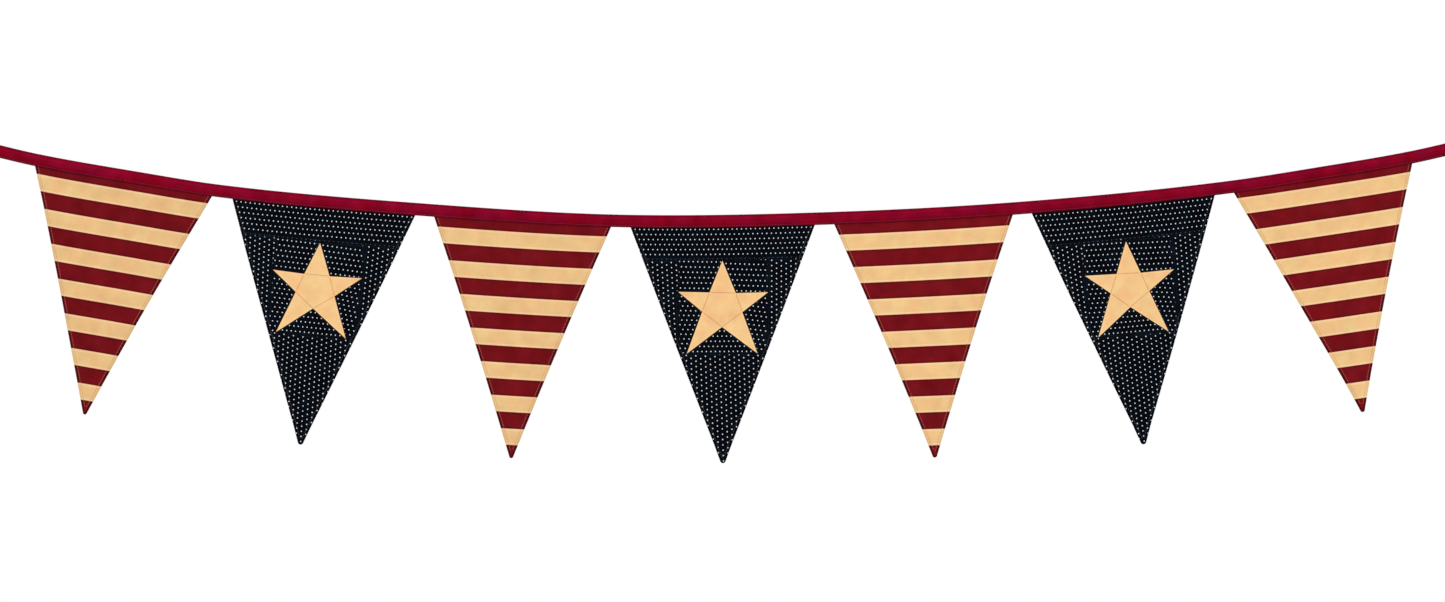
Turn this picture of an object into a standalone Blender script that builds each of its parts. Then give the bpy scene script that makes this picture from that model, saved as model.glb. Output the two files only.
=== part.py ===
"""Bunting: seven cloth flags under one folded binding tape that hangs in a shallow sag.

Frame: +X runs along the line to the right as seen from the front, +Z is up, and the front faces -Y.
The origin is on the tape's top edge at midspan. The tape is folded over the flags' top edges and
keeps the middle plane y = 0, so each flag hangs from the chord of the tape that carries it.

A flag is worked out in its own sheet coordinates: u runs along its chord, v runs down from the
tape's lower edge. Striped flags are one sheet. Starred flags have a star let into the front.
"""

import math
from collections import namedtuple

import bmesh
import bpy

MM = 0.001

# Binding tape: a strip folded in half over the flags, measured across the fold
TAPE_WIDTH = 13.2 * MM
TAPE_LEAF = 0.9 * MM
TAPE_FOLD_HEIGHT = 1.4 * MM
TAPE_FOLD_STEPS = 6
TAPE_PRESSED_HALF_SLOT = 0.2 * MM
TAPE_SLOT_TOP = 2.2 * MM
TAPE_SLOT_MARGIN = 1.2 * MM
TAPE_SLOT_EASE = 3.6 * MM
TAPE_EASE_STEPS = 3
TAPE_FLAG_STEPS = 5

# Flags: cloth with its edges turned in, pressed thin where the tape holds it
FLAG_THICKNESS = 2.0 * MM
FLAG_PRESSED_THICKNESS = 1.4 * MM
FLAG_PRESSED_TO = 2.0 * MM
FLAG_FULL_FROM = 14.0 * MM
FLAG_TUCK = 9.0 * MM
FLAG_ROWS = 13
FLAG_COLUMNS = 10
FLAG_TIP_RADIUS = 2.1 * MM
FLAG_TIP_STEPS = 4
FLAG_TIP_BLUNT = 0.6
PIECE_GAP = 0.3 * MM

# How the cloth hangs out of its plane
WAVE_RAMP = 70.0 * MM
COCKLE_LENGTH = 105.0 * MM
COCKLE_DRIFT = 0.15
RIPPLE_LENGTH = 63.0 * MM
RIPPLE_SHARE = 0.4
RIPPLE_PHASE = -2.0
RIPPLE_DRIFT = 0.4

# Star: a sheet let into the flag's front, and how far its tools reach past it
STAR_THICKNESS = 1.0 * MM
CUTTER_FRONT = 12.0 * MM
CUTTER_BACK = 14.0 * MM
STAR_SHEET_MARGIN = 6.0 * MM
STAR_SHEET_STEPS = 7

# The tape's top edge at its ends, between the flags and over the two outer flags:
# x along the line, z above midspan
TapePoint = namedtuple("TapePoint", "x z")
TAPE_POINTS = (
    TapePoint(x=-772.0 * MM, z=76.6 * MM),
    TapePoint(x=-721.5 * MM, z=64.6 * MM),
    TapePoint(x=-611.1 * MM, z=44.9 * MM),
    TapePoint(x=-526.8 * MM, z=31.6 * MM),
    TapePoint(x=-312.0 * MM, z=11.9 * MM),
    TapePoint(x=-108.4 * MM, z=0.3 * MM),
    TapePoint(x=107.7 * MM, z=2.9 * MM),
    TapePoint(x=313.2 * MM, z=13.9 * MM),
    TapePoint(x=527.6 * MM, z=35.2 * MM),
    TapePoint(x=627.9 * MM, z=50.6 * MM),
    TapePoint(x=722.9 * MM, z=67.1 * MM),
    TapePoint(x=772.0 * MM, z=78.2 * MM),
)

# A row for each flag: its middle along the line, its width at the tape, its drop to the sharp
# point, how far the point leans to the right, how far the sides draw in (positive) or belly out
# (negative) at half drop, how far the point swings forward, the depth of its cockles and where
# they start
Flag = namedtuple("Flag", "name cloth middle width drop lean hollow swing cockle phase")
FLAGS = (
    Flag("flag_1_striped", "striped", middle=-628.9 * MM, width=188.8 * MM, drop=252.9 * MM,
         lean=1.5 * MM, hollow=1.7 * MM, swing=4.0 * MM, cockle=1.5 * MM, phase=0.10),
    Flag("flag_2_starred", "starred", middle=-418.6 * MM, width=192.8 * MM, drop=255.0 * MM,
         lean=-2.3 * MM, hollow=-0.5 * MM, swing=-2.5 * MM, cockle=1.2 * MM, phase=0.55),
    Flag("flag_3_striped", "striped", middle=-209.9 * MM, width=186.1 * MM, drop=252.6 * MM,
         lean=2.6 * MM, hollow=1.6 * MM, swing=3.0 * MM, cockle=1.8 * MM, phase=0.80),
    Flag("flag_4_starred", "starred", middle=0.2 * MM, width=193.4 * MM, drop=253.2 * MM,
         lean=-3.0 * MM, hollow=-0.2 * MM, swing=-3.5 * MM, cockle=1.0 * MM, phase=0.25),
    Flag("flag_5_striped", "striped", middle=211.1 * MM, width=187.8 * MM, drop=254.2 * MM,
         lean=-1.8 * MM, hollow=1.6 * MM, swing=5.0 * MM, cockle=1.6 * MM, phase=0.40),
    Flag("flag_6_starred", "starred", middle=420.8 * MM, width=193.2 * MM, drop=256.8 * MM,
         lean=-3.3 * MM, hollow=-0.9 * MM, swing=-2.0 * MM, cockle=1.3 * MM, phase=0.95),
    Flag("flag_7_striped", "striped", middle=630.6 * MM, width=190.0 * MM, drop=253.4 * MM,
         lean=0.3 * MM, hollow=1.5 * MM, swing=3.5 * MM, cockle=1.7 * MM, phase=0.65),
)

# A row for each star: the flag that holds it, then its ten corners (u, v) in millimetres, clockwise
# from the top. Points and notches take turns, and no two arms are quite alike.
Star = namedtuple(
    "Star",
    "name flag top upper_right_notch right_arm right_notch right_leg lower_notch left_leg"
    " left_notch left_arm upper_left_notch",
)
STARS = (
    Star("star_2", "flag_2_starred", top=(-0.4, 37.0), upper_right_notch=(12.6, 71.1),
         right_arm=(46.8, 70.3), right_notch=(19.6, 91.7), right_leg=(35.5, 135.5),
         lower_notch=(-1.7, 106.5), left_leg=(-38.5, 134.8), left_notch=(-21.5, 90.7),
         left_arm=(-47.6, 69.6), upper_left_notch=(-14.1, 70.9)),
    Star("star_4", "flag_4_starred", top=(-0.8, 35.6), upper_right_notch=(12.9, 69.5),
         right_arm=(47.0, 69.2), right_notch=(19.5, 89.8), right_leg=(35.0, 133.8),
         lower_notch=(-2.1, 105.2), left_leg=(-39.5, 133.0), left_notch=(-22.7, 88.7),
         left_arm=(-47.8, 67.4), upper_left_notch=(-14.7, 68.4)),
    Star("star_6", "flag_6_starred", top=(-1.0, 38.8), upper_right_notch=(11.3, 72.6),
         right_arm=(46.5, 72.5), right_notch=(18.4, 92.7), right_leg=(34.5, 137.4),
         lower_notch=(-3.1, 107.6), left_leg=(-40.1, 136.4), left_notch=(-22.5, 91.2),
         left_arm=(-47.6, 70.2), upper_left_notch=(-14.3, 71.4)),
)
FIRST_CORNER = Star._fields.index("top")

CRIMSON_BINDING = (0.242, 0.003, 0.019, 1.0)
STRIPED_COTTON = (0.188, 0.005, 0.012, 1.0)
NAVY_DOTTED_COTTON = (0.006, 0.010, 0.020, 1.0)
TAN_COTTON = (0.855, 0.578, 0.262, 1.0)


def clear_scene():
    """Removes every object, so that the model starts from an empty scene."""
    for item in list(bpy.data.objects):
        bpy.data.objects.remove(item, do_unlink=True)


def cloth_material(name, colour, roughness):
    """Returns a cloth material: one colour, no metal, rough."""
    material = bpy.data.materials.new(name)
    material.use_nodes = True
    shader = material.node_tree.nodes["Principled BSDF"]
    shader.inputs["Base Color"].default_value = colour
    shader.inputs["Roughness"].default_value = roughness
    shader.inputs["Metallic"].default_value = 0.0
    return material


def ease(amount):
    """Returns a smooth step: 0 below 0, 1 above 1, level at both ends."""
    t = min(max(amount, 0.0), 1.0)
    return t * t * (3.0 - 2.0 * t)


def tape_slopes():
    """Returns the slope of the top edge at each tape point, a mean of the runs beside it."""
    runs = []
    for left, right in zip(TAPE_POINTS, TAPE_POINTS[1:]):
        runs.append((right.z - left.z) / (right.x - left.x))
    inner = [(a + b) / 2.0 for a, b in zip(runs, runs[1:])]
    return [runs[0]] + inner + [runs[-1]]


TAPE_SLOPES = tape_slopes()


def tape_height(x):
    """Returns z of the tape's top edge at x, on a cubic through the tape points."""
    last = len(TAPE_POINTS) - 2
    run = 0
    while run < last and x > TAPE_POINTS[run + 1].x:
        run += 1
    left, right = TAPE_POINTS[run], TAPE_POINTS[run + 1]
    span = right.x - left.x
    t = (x - left.x) / span
    start = (2 * t**3 - 3 * t**2 + 1) * left.z + (t**3 - 2 * t**2 + t) * span * TAPE_SLOPES[run]
    end = (3 * t**2 - 2 * t**3) * right.z + (t**3 - t**2) * span * TAPE_SLOPES[run + 1]
    return start + end


def tape_down(x):
    """Returns the unit vector (x, z) that points down across the tape at x."""
    step = 1.0 * MM
    rise = tape_height(x + step) - tape_height(x - step)
    length = math.hypot(2 * step, rise)
    return rise / length, -2 * step / length


class FlagFrame:
    """The sheet coordinates of one flag: u along its chord, v down from the tape's lower edge."""

    def __init__(self, flag):
        self.flag = flag
        half = flag.width / 2
        left, right = flag.middle - half, flag.middle + half
        run, rise = right - left, tape_height(right) - tape_height(left)
        length = math.hypot(run, rise)
        self.along = (run / length, rise / length)
        self.down = (rise / length, -run / length)
        self.chord_slope = rise / run
        self.chord_middle_z = (tape_height(left) + tape_height(right)) / 2
        self.origin = (flag.middle, self.chord_middle_z + self.down[1] * TAPE_WIDTH)

    def half_width(self, v):
        """Returns half the flag's width at v, with its hollow or bellied sides and round point."""
        flag = self.flag
        share = v / flag.drop
        hollow = flag.hollow * 4 * max(share, 0.0) * (1 - share)
        straight = flag.width / 2 * (1 - share) - hollow
        centre, start = self.tip_arc()
        if v <= start:
            return straight
        return math.sqrt(max(FLAG_TIP_RADIUS**2 - (v - centre) ** 2, 0.0))

    def tip_arc(self):
        """Returns v of the centre of the round point, and v where the arc takes over."""
        flag = self.flag
        slope = (flag.width / 2 - 4 * flag.hollow) / flag.drop
        angle = math.atan(slope)
        centre = flag.drop - FLAG_TIP_RADIUS / math.sin(angle)
        return centre, centre + FLAG_TIP_RADIUS * math.sin(angle)

    def middle_u(self, v):
        """Returns u of the flag's middle line, which leans towards the point."""
        return self.flag.lean * v / self.flag.drop

    def depth(self, u, v):
        """Returns y of the middle of the cloth: cockles that fade in below the tape, and a swing."""
        flag = self.flag
        share = v / flag.drop
        cockle = math.sin(2 * math.pi * (u / COCKLE_LENGTH + flag.phase + COCKLE_DRIFT * share))
        ripple_turn = u / RIPPLE_LENGTH + RIPPLE_PHASE * flag.phase + RIPPLE_DRIFT * share
        waves = flag.cockle * (cockle + RIPPLE_SHARE * math.sin(2 * math.pi * ripple_turn))
        return ease(v / WAVE_RAMP) * waves - flag.swing * ease(share)

    def thickness(self, v):
        """Returns the cloth's thickness at v: pressed in the tape, full below it."""
        share = ease((v - FLAG_PRESSED_TO) / (FLAG_FULL_FROM - FLAG_PRESSED_TO))
        return FLAG_PRESSED_THICKNESS + (FLAG_THICKNESS - FLAG_PRESSED_THICKNESS) * share

    def place(self, u, v, y):
        """Returns the point in space for u and v at depth y.

        The top of the flag follows the tape's curve, and that bend fades towards the point.
        """
        x = self.origin[0] + u * self.along[0] + v * self.down[0]
        z = self.origin[1] + u * self.along[1] + v * self.down[1]
        beside = self.flag.middle + u * self.along[0]
        chord = self.chord_middle_z + (beside - self.flag.middle) * self.chord_slope
        bend = tape_height(beside) - chord
        return x, y, z + bend * (1 - max(v, 0.0) / self.flag.drop)


def face_outwards(mesh):
    """Turns every face of a closed mesh outwards."""
    work = bmesh.new()
    work.from_mesh(mesh)
    bmesh.ops.recalc_face_normals(work, faces=work.faces)
    work.to_mesh(mesh)
    work.free()


def add_object(name, vertices, faces, material=None):
    """Adds a closed mesh as a named object and returns it."""
    mesh = bpy.data.meshes.new(name)
    mesh.from_pydata(vertices, [], faces)
    face_outwards(mesh)
    mesh.shade_smooth()
    mesh.set_sharp_from_angle(angle=math.radians(40))
    item = bpy.data.objects.new(name, mesh)
    bpy.context.collection.objects.link(item)
    if material:
        mesh.materials.append(material)
    return item


def grid_solid(front_rows, back_rows):
    """Returns vertices and triangles of a slab between two grids of equal size."""
    rows, columns = len(front_rows), len(front_rows[0])
    vertices = [point for row in front_rows + back_rows for point in row]
    offset = rows * columns

    def quad(a, b, c, d):
        return [(a, b, c), (a, c, d)]

    faces = []
    for i in range(rows - 1):
        for j in range(columns - 1):
            a = i * columns + j
            b, c, d = a + 1, a + columns + 1, a + columns
            faces += quad(a, b, c, d)
            faces += quad(offset + a, offset + d, offset + c, offset + b)
    rim = list(range(columns))
    rim += [i * columns + columns - 1 for i in range(1, rows)]
    rim += [(rows - 1) * columns + j for j in range(columns - 2, -1, -1)]
    rim += [i * columns for i in range(rows - 2, 0, -1)]
    for a, b in zip(rim, rim[1:] + rim[:1]):
        faces += quad(b, a, offset + a, offset + b)
    return vertices, faces


def flag_levels(frame):
    """Returns the v of each row of the flag's grid, closer together round the point."""
    centre, start = frame.tip_arc()
    levels = [-FLAG_TUCK, 0.0, FLAG_PRESSED_TO, FLAG_FULL_FROM]
    for i in range(1, FLAG_ROWS + 1):
        levels.append(FLAG_FULL_FROM + (start - FLAG_FULL_FROM) * i / FLAG_ROWS)
    first = math.acos((start - centre) / FLAG_TIP_RADIUS)
    for i in range(1, FLAG_TIP_STEPS + 1):
        angle = first * (1 - i / (FLAG_TIP_STEPS + FLAG_TIP_BLUNT))
        levels.append(centre + FLAG_TIP_RADIUS * math.cos(angle))
    return levels


def make_flag(flag, material):
    """Builds one flag as a closed sheet from inside the tape down to its round point."""
    frame = FlagFrame(flag)
    front, back = [], []
    for v in flag_levels(frame):
        half, middle = frame.half_width(v), frame.middle_u(v)
        thick = frame.thickness(v) / 2
        front_row, back_row = [], []
        for j in range(FLAG_COLUMNS):
            u = middle + half * (2 * j / (FLAG_COLUMNS - 1) - 1)
            y = frame.depth(u, v)
            front_row.append(frame.place(u, v, y - thick))
            back_row.append(frame.place(u, v, y + thick))
        front.append(front_row)
        back.append(back_row)
    vertices, faces = grid_solid(front, back)
    return add_object(flag.name, vertices, faces, material)


def star_corners(star, grow=0.0):
    """Returns the ten corners (u, v) of a star in metres, its outline moved out by grow."""
    corners = [(u * MM, v * MM) for u, v in star[FIRST_CORNER:]]
    return move_out(corners, grow)


def crossing(a, b, c, d):
    """Returns the point where the line through a and b meets the line through c and d."""
    ab, cd = (b[0] - a[0], b[1] - a[1]), (d[0] - c[0], d[1] - c[1])
    ac = (c[0] - a[0], c[1] - a[1])
    t = (ac[0] * cd[1] - ac[1] * cd[0]) / (ab[0] * cd[1] - ab[1] * cd[0])
    return a[0] + t * ab[0], a[1] + t * ab[1]


def move_out(corners, grow):
    """Returns a clockwise outline with each side moved outwards by grow."""
    sides = []
    for a, b in zip(corners, corners[1:] + corners[:1]):
        length = math.hypot(b[0] - a[0], b[1] - a[1])
        shift = (grow * (b[1] - a[1]) / length, -grow * (b[0] - a[0]) / length)
        sides.append(((a[0] + shift[0], a[1] + shift[1]), (b[0] + shift[0], b[1] + shift[1])))
    moved = []
    for before, after in zip(sides[-1:] + sides[:-1], sides):
        moved.append(crossing(before[0], before[1], after[0], after[1]))
    return moved


def make_star_prism(name, frame, corners):
    """Builds a straight prism of the star's outline that passes right through the flag."""
    count = len(corners)
    vertices = [frame.place(u, v, -CUTTER_FRONT) for u, v in corners]
    vertices += [frame.place(u, v, CUTTER_BACK) for u, v in corners]
    centre = (sum(u for u, v in corners) / count, sum(v for u, v in corners) / count)
    vertices += [frame.place(*centre, -CUTTER_FRONT), frame.place(*centre, CUTTER_BACK)]
    faces = []
    for i in range(count):
        j = (i + 1) % count
        faces += [(i, j, 2 * count), (count + j, count + i, 2 * count + 1)]
        faces += [(j, i, count + i), (j, count + i, count + j)]
    return hide_tool(add_object(name, vertices, faces))


def make_star_sheet(name, frame, star, front_y, back_depth, material=None):
    """Builds a slab under the whole star that follows the flag's front face.

    front_y gives the slab's front in space, or None for the flag's own front face, and back_depth
    is how far behind the flag's front face the slab ends.
    """
    corners = star_corners(star)
    low_u = min(u for u, v in corners) - STAR_SHEET_MARGIN
    high_u = max(u for u, v in corners) + STAR_SHEET_MARGIN
    low_v = min(v for u, v in corners) - STAR_SHEET_MARGIN
    high_v = max(v for u, v in corners) + STAR_SHEET_MARGIN
    front, back = [], []
    for i in range(STAR_SHEET_STEPS + 1):
        v = low_v + (high_v - low_v) * i / STAR_SHEET_STEPS
        front_row, back_row = [], []
        for j in range(STAR_SHEET_STEPS + 1):
            u = low_u + (high_u - low_u) * j / STAR_SHEET_STEPS
            face = frame.depth(u, v) - frame.thickness(v) / 2
            front_row.append(frame.place(u, v, face if front_y is None else front_y))
            back_row.append(frame.place(u, v, face + back_depth))
        front.append(front_row)
        back.append(back_row)
    vertices, faces = grid_solid(front, back)
    return add_object(name, vertices, faces, material)


def hide_tool(item):
    """Marks an object as a cutter, which is not a piece of the bunting."""
    item.hide_render = True
    item.display_type = "WIRE"
    return item


def add_boolean(item, tool, operation):
    """Adds an exact Boolean of item with tool."""
    modifier = item.modifiers.new(tool.name, "BOOLEAN")
    modifier.operation = operation
    modifier.solver = "EXACT"
    modifier.object = tool


def make_star(star, flag_object, frame, material):
    """Builds a star and the recess that it lies in, 0.3 mm clear of it all round."""
    recess_shape = make_star_prism(star.name + "_recess_outline", frame, star_corners(star, PIECE_GAP))
    depth = STAR_THICKNESS + PIECE_GAP
    recess = make_star_sheet(star.name + "_recess", frame, star, -CUTTER_FRONT / 2, depth)
    hide_tool(recess)
    add_boolean(recess, recess_shape, "INTERSECT")
    add_boolean(flag_object, recess, "DIFFERENCE")
    outline = make_star_prism(star.name + "_outline", frame, star_corners(star))
    item = make_star_sheet(star.name, frame, star, None, STAR_THICKNESS, material)
    add_boolean(item, outline, "INTERSECT")
    return item


def tape_station(point):
    """Returns x of the tape station that a point (x, z) lies under."""
    x = point[0]
    for _ in range(4):
        down = tape_down(x)
        depth = (tape_height(x) - point[2]) / -down[1]
        x = point[0] - depth * down[0]
    return x


def flag_reach(flag):
    """Returns the tape stations between which a flag's top lies in the tape."""
    frame = FlagFrame(flag)
    lefts, rights = [], []
    for v in (-FLAG_TUCK, 0.0):
        lefts.append(tape_station(frame.place(-frame.half_width(v), v, 0.0)))
        rights.append(tape_station(frame.place(frame.half_width(v), v, 0.0)))
    return min(lefts) - TAPE_SLOT_MARGIN, max(rights) + TAPE_SLOT_MARGIN


def half_slot(x, reaches):
    """Returns half the slot's width at x: open round a flag, pressed shut between flags."""
    opened = FLAG_PRESSED_THICKNESS / 2 + PIECE_GAP
    share = 0.0
    for left, right in reaches:
        beyond = max(left - x, x - right, 0.0)
        share = max(share, 1.0 - ease(beyond / TAPE_SLOT_EASE))
    return TAPE_PRESSED_HALF_SLOT + (opened - TAPE_PRESSED_HALF_SLOT) * share


def tape_stations(reaches):
    """Returns the x of each section of the tape, close together where the slot opens or shuts."""
    stations = {TAPE_POINTS[0].x, TAPE_POINTS[-1].x}
    for left, right in reaches:
        for i in range(TAPE_FLAG_STEPS + 1):
            stations.add(left + (right - left) * i / TAPE_FLAG_STEPS)
        for i in range(1, TAPE_EASE_STEPS + 1):
            step = TAPE_SLOT_EASE * i / TAPE_EASE_STEPS
            stations.add(left - step)
            stations.add(right + step)
    return sorted(stations)


def tape_section(x, reaches):
    """Returns the tape's folded section at x as (y, distance down from the top edge)."""
    slot = half_slot(x, reaches)
    outer = slot + TAPE_LEAF
    section = [(-outer, TAPE_WIDTH)]
    for i in range(TAPE_FOLD_STEPS + 1):
        angle = math.pi * i / TAPE_FOLD_STEPS
        section.append((-outer * math.cos(angle), TAPE_FOLD_HEIGHT * (1 - math.sin(angle))))
    section += [(outer, TAPE_WIDTH), (slot, TAPE_WIDTH), (slot, TAPE_SLOT_TOP)]
    section += [(-slot, TAPE_SLOT_TOP), (-slot, TAPE_WIDTH)]
    return section


def make_tape(material):
    """Builds the binding tape: its folded section carried along the sag, with plain ends."""
    reaches = [flag_reach(flag) for flag in FLAGS]
    vertices, faces = [], []
    stations = tape_stations(reaches)
    for x in stations:
        down = tape_down(x)
        for y, depth in tape_section(x, reaches):
            vertices.append((x + down[0] * depth, y, tape_height(x) + down[1] * depth))
    size = len(tape_section(0.0, reaches))
    for i in range(len(stations) - 1):
        for j in range(size):
            k = (j + 1) % size
            a, b = i * size + j, i * size + k
            c, d = b + size, a + size
            faces += [(a, b, c), (a, c, d)]
    last = (len(stations) - 1) * size
    faces.append(tuple(range(size)))
    faces.append(tuple(last + j for j in range(size - 1, -1, -1)))
    return add_object("binding_tape", vertices, faces, material)


def build():
    """Builds every piece of the bunting."""
    clear_scene()
    cloths = {
        "striped": cloth_material("striped_cotton", STRIPED_COTTON, 0.85),
        "starred": cloth_material("navy_dotted_cotton", NAVY_DOTTED_COTTON, 0.85),
    }
    star_cloth = cloth_material("tan_cotton", TAN_COTTON, 0.85)
    binding = cloth_material("crimson_binding_cotton", CRIMSON_BINDING, 0.8)
    make_tape(binding)
    flags = {}
    for flag in FLAGS:
        flags[flag.name] = (make_flag(flag, cloths[flag.cloth]), FlagFrame(flag))
    for star in STARS:
        flag_object, frame = flags[star.flag]
        make_star(star, flag_object, frame, star_cloth)


build()
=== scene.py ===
"""Looks of a cloth bunting: striped and starred flags in turn under a folded crimson tape.

Frame: metres, +X runs along the line to the right as seen from the front, +Z is up, the front faces
-Y and the origin lies on the tape's top edge at midspan. A flag is drawn in its own sheet
coordinates, in millimetres: u runs along its chord and v down from the tape's lower edge. Every
cloth surface is a function of two parameters, worked out on a whole grid at once.
"""

import enum
import logging
import math
from dataclasses import dataclass, field, replace

import bmesh
import bpy
import numpy as np
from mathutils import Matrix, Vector


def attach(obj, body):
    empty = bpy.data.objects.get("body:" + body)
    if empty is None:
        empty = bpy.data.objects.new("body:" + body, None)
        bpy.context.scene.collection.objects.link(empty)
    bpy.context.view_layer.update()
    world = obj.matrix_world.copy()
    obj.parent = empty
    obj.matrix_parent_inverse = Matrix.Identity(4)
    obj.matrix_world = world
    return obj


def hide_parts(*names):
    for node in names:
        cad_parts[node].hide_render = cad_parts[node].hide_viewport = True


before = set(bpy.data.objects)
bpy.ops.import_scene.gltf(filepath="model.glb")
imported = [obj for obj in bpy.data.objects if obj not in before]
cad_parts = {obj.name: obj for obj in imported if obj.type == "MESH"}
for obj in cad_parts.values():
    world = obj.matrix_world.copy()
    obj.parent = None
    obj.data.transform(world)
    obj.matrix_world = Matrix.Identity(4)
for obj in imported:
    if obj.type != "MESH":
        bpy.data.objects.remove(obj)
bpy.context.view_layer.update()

Array = np.ndarray
Point = tuple[float, float]
Place = tuple[float, float, float]
Colour = tuple[float, float, float, float]
Socket = bpy.types.NodeSocket
Value = Socket | float | Colour
Reach = tuple[float, ...]
Material = bpy.types.Material
Item = bpy.types.Object

MM = 0.001
LOG = logging.getLogger("bunting")

# Folded tape, in millimetres
TAPE_WIDTH = 13.2
TAPE_LEAF = 0.9
TAPE_FOLD_HEIGHT = 1.4
TAPE_SLOT_TOP = 2.2
TAPE_PRESSED_HALF_SLOT = 0.2
TAPE_OPEN_HALF_SLOT = 1.0
TAPE_SLOT_MARGIN = 1.2
TAPE_SLOT_EASE = 3.6
TAPE_SEAM_DEPTH = 11.7

# Flags, in millimetres
FLAG_TUCK = 9.0
FLAG_PRESSED_THICKNESS = 1.4
FLAG_THICKNESS = 2.0
FLAG_PRESSED_TO = 2.0
FLAG_FULL_FROM = 14.0
FLAG_TIP_RADIUS = 2.1
TAPER_LENGTH = 18.0
LAYER_GAP = 0.04
THINNEST = 0.08

# How the cloth hangs out of its plane, in millimetres and turns
WAVE_RAMP = 70.0
COCKLE_LENGTH = 105.0
COCKLE_DRIFT = 0.15
RIPPLE_LENGTH = 63.0
RIPPLE_SHARE = 0.4
RIPPLE_PHASE = -2.0
RIPPLE_DRIFT = 0.4

# Turned edges and seams, in millimetres
EDGE_ROLL = 1.1
EDGE_STEPS = (0.0, 0.08, 0.3, 0.65, 1.1, 1.7, 2.3, 2.75, 3.2, 3.65, 4.2)
NARROW_HALF_WIDTH = 5.0
TOPSTITCH_INSET = 3.2
GROOVE_DEPTH = 0.16
GROOVE_HALF_WIDTH = 0.55
EDGE_PUFF = 0.10
EDGE_PUFF_HALF_WIDTH = 1.2
SEAM_ROLL = 1.3
SEAM_SINK = 0.42
SINK_START = -2.0
SINK_LENGTH = 4.0
SEAM_STEPS = (0.0, 0.12, 0.35, 0.75, 1.3, 2.0)
DIP_REACH = 8.0
FAR_FROM_SEAM = 6.0
STITCH_START = 0.8
STITCH_CLEARANCE = 0.4

# How finely the surfaces are divided: lengths in millimetres, counts, and a turn in radians
CLOSE_ROWS_LENGTH = 12.0
CLOSE_ROWS = 9
POINT_TURNS = 9
LAST_TURN = 0.1
PATCH_SPACING = 3.4
RING_STEP = 4.2
STITCH_PATH_POINTS = 400

# Printed and woven patterns, in millimetres
STRIPE_PITCH = 34.75
STRIPE_TAN = 17.5
DOT_PITCH = 5.1
DOT_SPACING = 5.25

WHITE = (1.0, 1.0, 1.0, 1.0)
LAMP_GAIN = 1.16
SHARP_ANGLE = math.radians(60.0)


class Cloth(enum.Enum):
    """The two kinds of flag."""

    STRIPED = "striped"
    STARRED = "starred"


class Side(enum.Enum):
    """The two faces of the bunting, with the sign of y that each looks along."""

    FRONT = -1.0
    BACK = 1.0


def ease(amount: Array | float) -> Array:
    """Returns a smooth step, 3t^2 - 2t^3, level below 0 and above 1.

    Args:
        amount: how far along the step each value lies.

    Returns:
        The step's height, from 0 to 1.
    """
    t = np.clip(amount, 0.0, 1.0)
    return t * t * (3.0 - 2.0 * t)


def quarter_round(distance: Array | float, reach: float) -> Array:
    """Returns the height of a quarter ellipse: 0 at its edge, 1 from its reach on.

    Args:
        distance: distance in from the edge.
        reach: width of the rounded strip.

    Returns:
        sqrt(1 - (1 - distance / reach)^2), held at 1 past the reach.
    """
    inward = 1.0 - np.clip(np.asarray(distance) / reach, 0.0, 1.0)
    return np.sqrt(1.0 - inward**2)


def trough(distance: Array | float, middle: float, half_width: float) -> Array:
    """Returns a bell curve, exp(-((distance - middle) / half_width)^2).

    Args:
        distance: where the curve is read.
        middle: where it is 1.
        half_width: how far from the middle it falls to a third.

    Returns:
        The curve's height, from 0 to 1.
    """
    return np.exp(-(((np.asarray(distance) - middle) / half_width) ** 2))


@dataclass(frozen=True)
class TapeLine:
    """The tape's top edge as it sags: a cubic curve through a few points (x, z) in millimetres."""

    points: tuple[Point, ...] = (
        (-772.0, 76.6), (-721.5, 64.6), (-611.1, 44.9), (-526.8, 31.6), (-312.0, 11.9), (-108.4, 0.3),
        (107.7, 2.9), (313.2, 13.9), (527.6, 35.2), (627.9, 50.6), (722.9, 67.1), (772.0, 78.2),
    )

    @property
    def ends(self) -> Point:
        """Returns x of the tape's two ends."""
        return self.points[0][0], self.points[-1][0]

    def height(self, x: Array | float) -> Array:
        """Returns z of the top edge.

        The slope at a point is the mean of the runs beside it, and between two points the edge is
        the cubic with those heights and slopes.

        Args:
            x: places along the line.

        Returns:
            The height at each.
        """
        knots, heights = np.array(self.points).T
        runs = np.diff(heights) / np.diff(knots)
        slopes = np.concatenate([runs[:1], (runs[1:] + runs[:-1]) / 2.0, runs[-1:]])
        left = np.clip(np.searchsorted(knots, x) - 1, 0, len(knots) - 2)
        span = knots[left + 1] - knots[left]
        t = (x - knots[left]) / span
        start = (2 * t**3 - 3 * t**2 + 1) * heights[left] + (t**3 - 2 * t**2 + t) * span * slopes[left]
        end = (3 * t**2 - 2 * t**3) * heights[left + 1] + (t**3 - t**2) * span * slopes[left + 1]
        return start + end

    def down(self, x: Array) -> tuple[Array, Array]:
        """Returns the unit direction (x, z) down across the tape, square to its top edge.

        Args:
            x: places along the line.

        Returns:
            Its x and its z at each, from the edge's rise over 1 mm to either side.
        """
        rise = self.height(x + 1.0) - self.height(x - 1.0)
        length = np.hypot(2.0, rise)
        return rise / length, -2.0 / length


@dataclass(frozen=True)
class FlagShape:
    """How one flag is cut and hangs, in millimetres, with the phase as a share of a cockle.

    The lean is how far its point lies to the right, the hollow how far its sides draw in at half
    drop, the swing how far its point comes forward, and the tone the lightness of its dye. The point
    is round, and it may be fuller than its solid's and stop a little short of it.
    """

    number: int
    cloth: Cloth
    middle: float
    width: float
    drop: float
    lean: float
    hollow: float
    swing: float
    cockle: float
    phase: float
    tone: float = 1.0
    point_radius: float = FLAG_TIP_RADIUS
    point_short: float = 0.0

    @property
    def node(self) -> str:
        """Returns the name of the solid that the flag stands for."""
        return f"flag_{self.number}_{self.cloth.value}"


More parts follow.
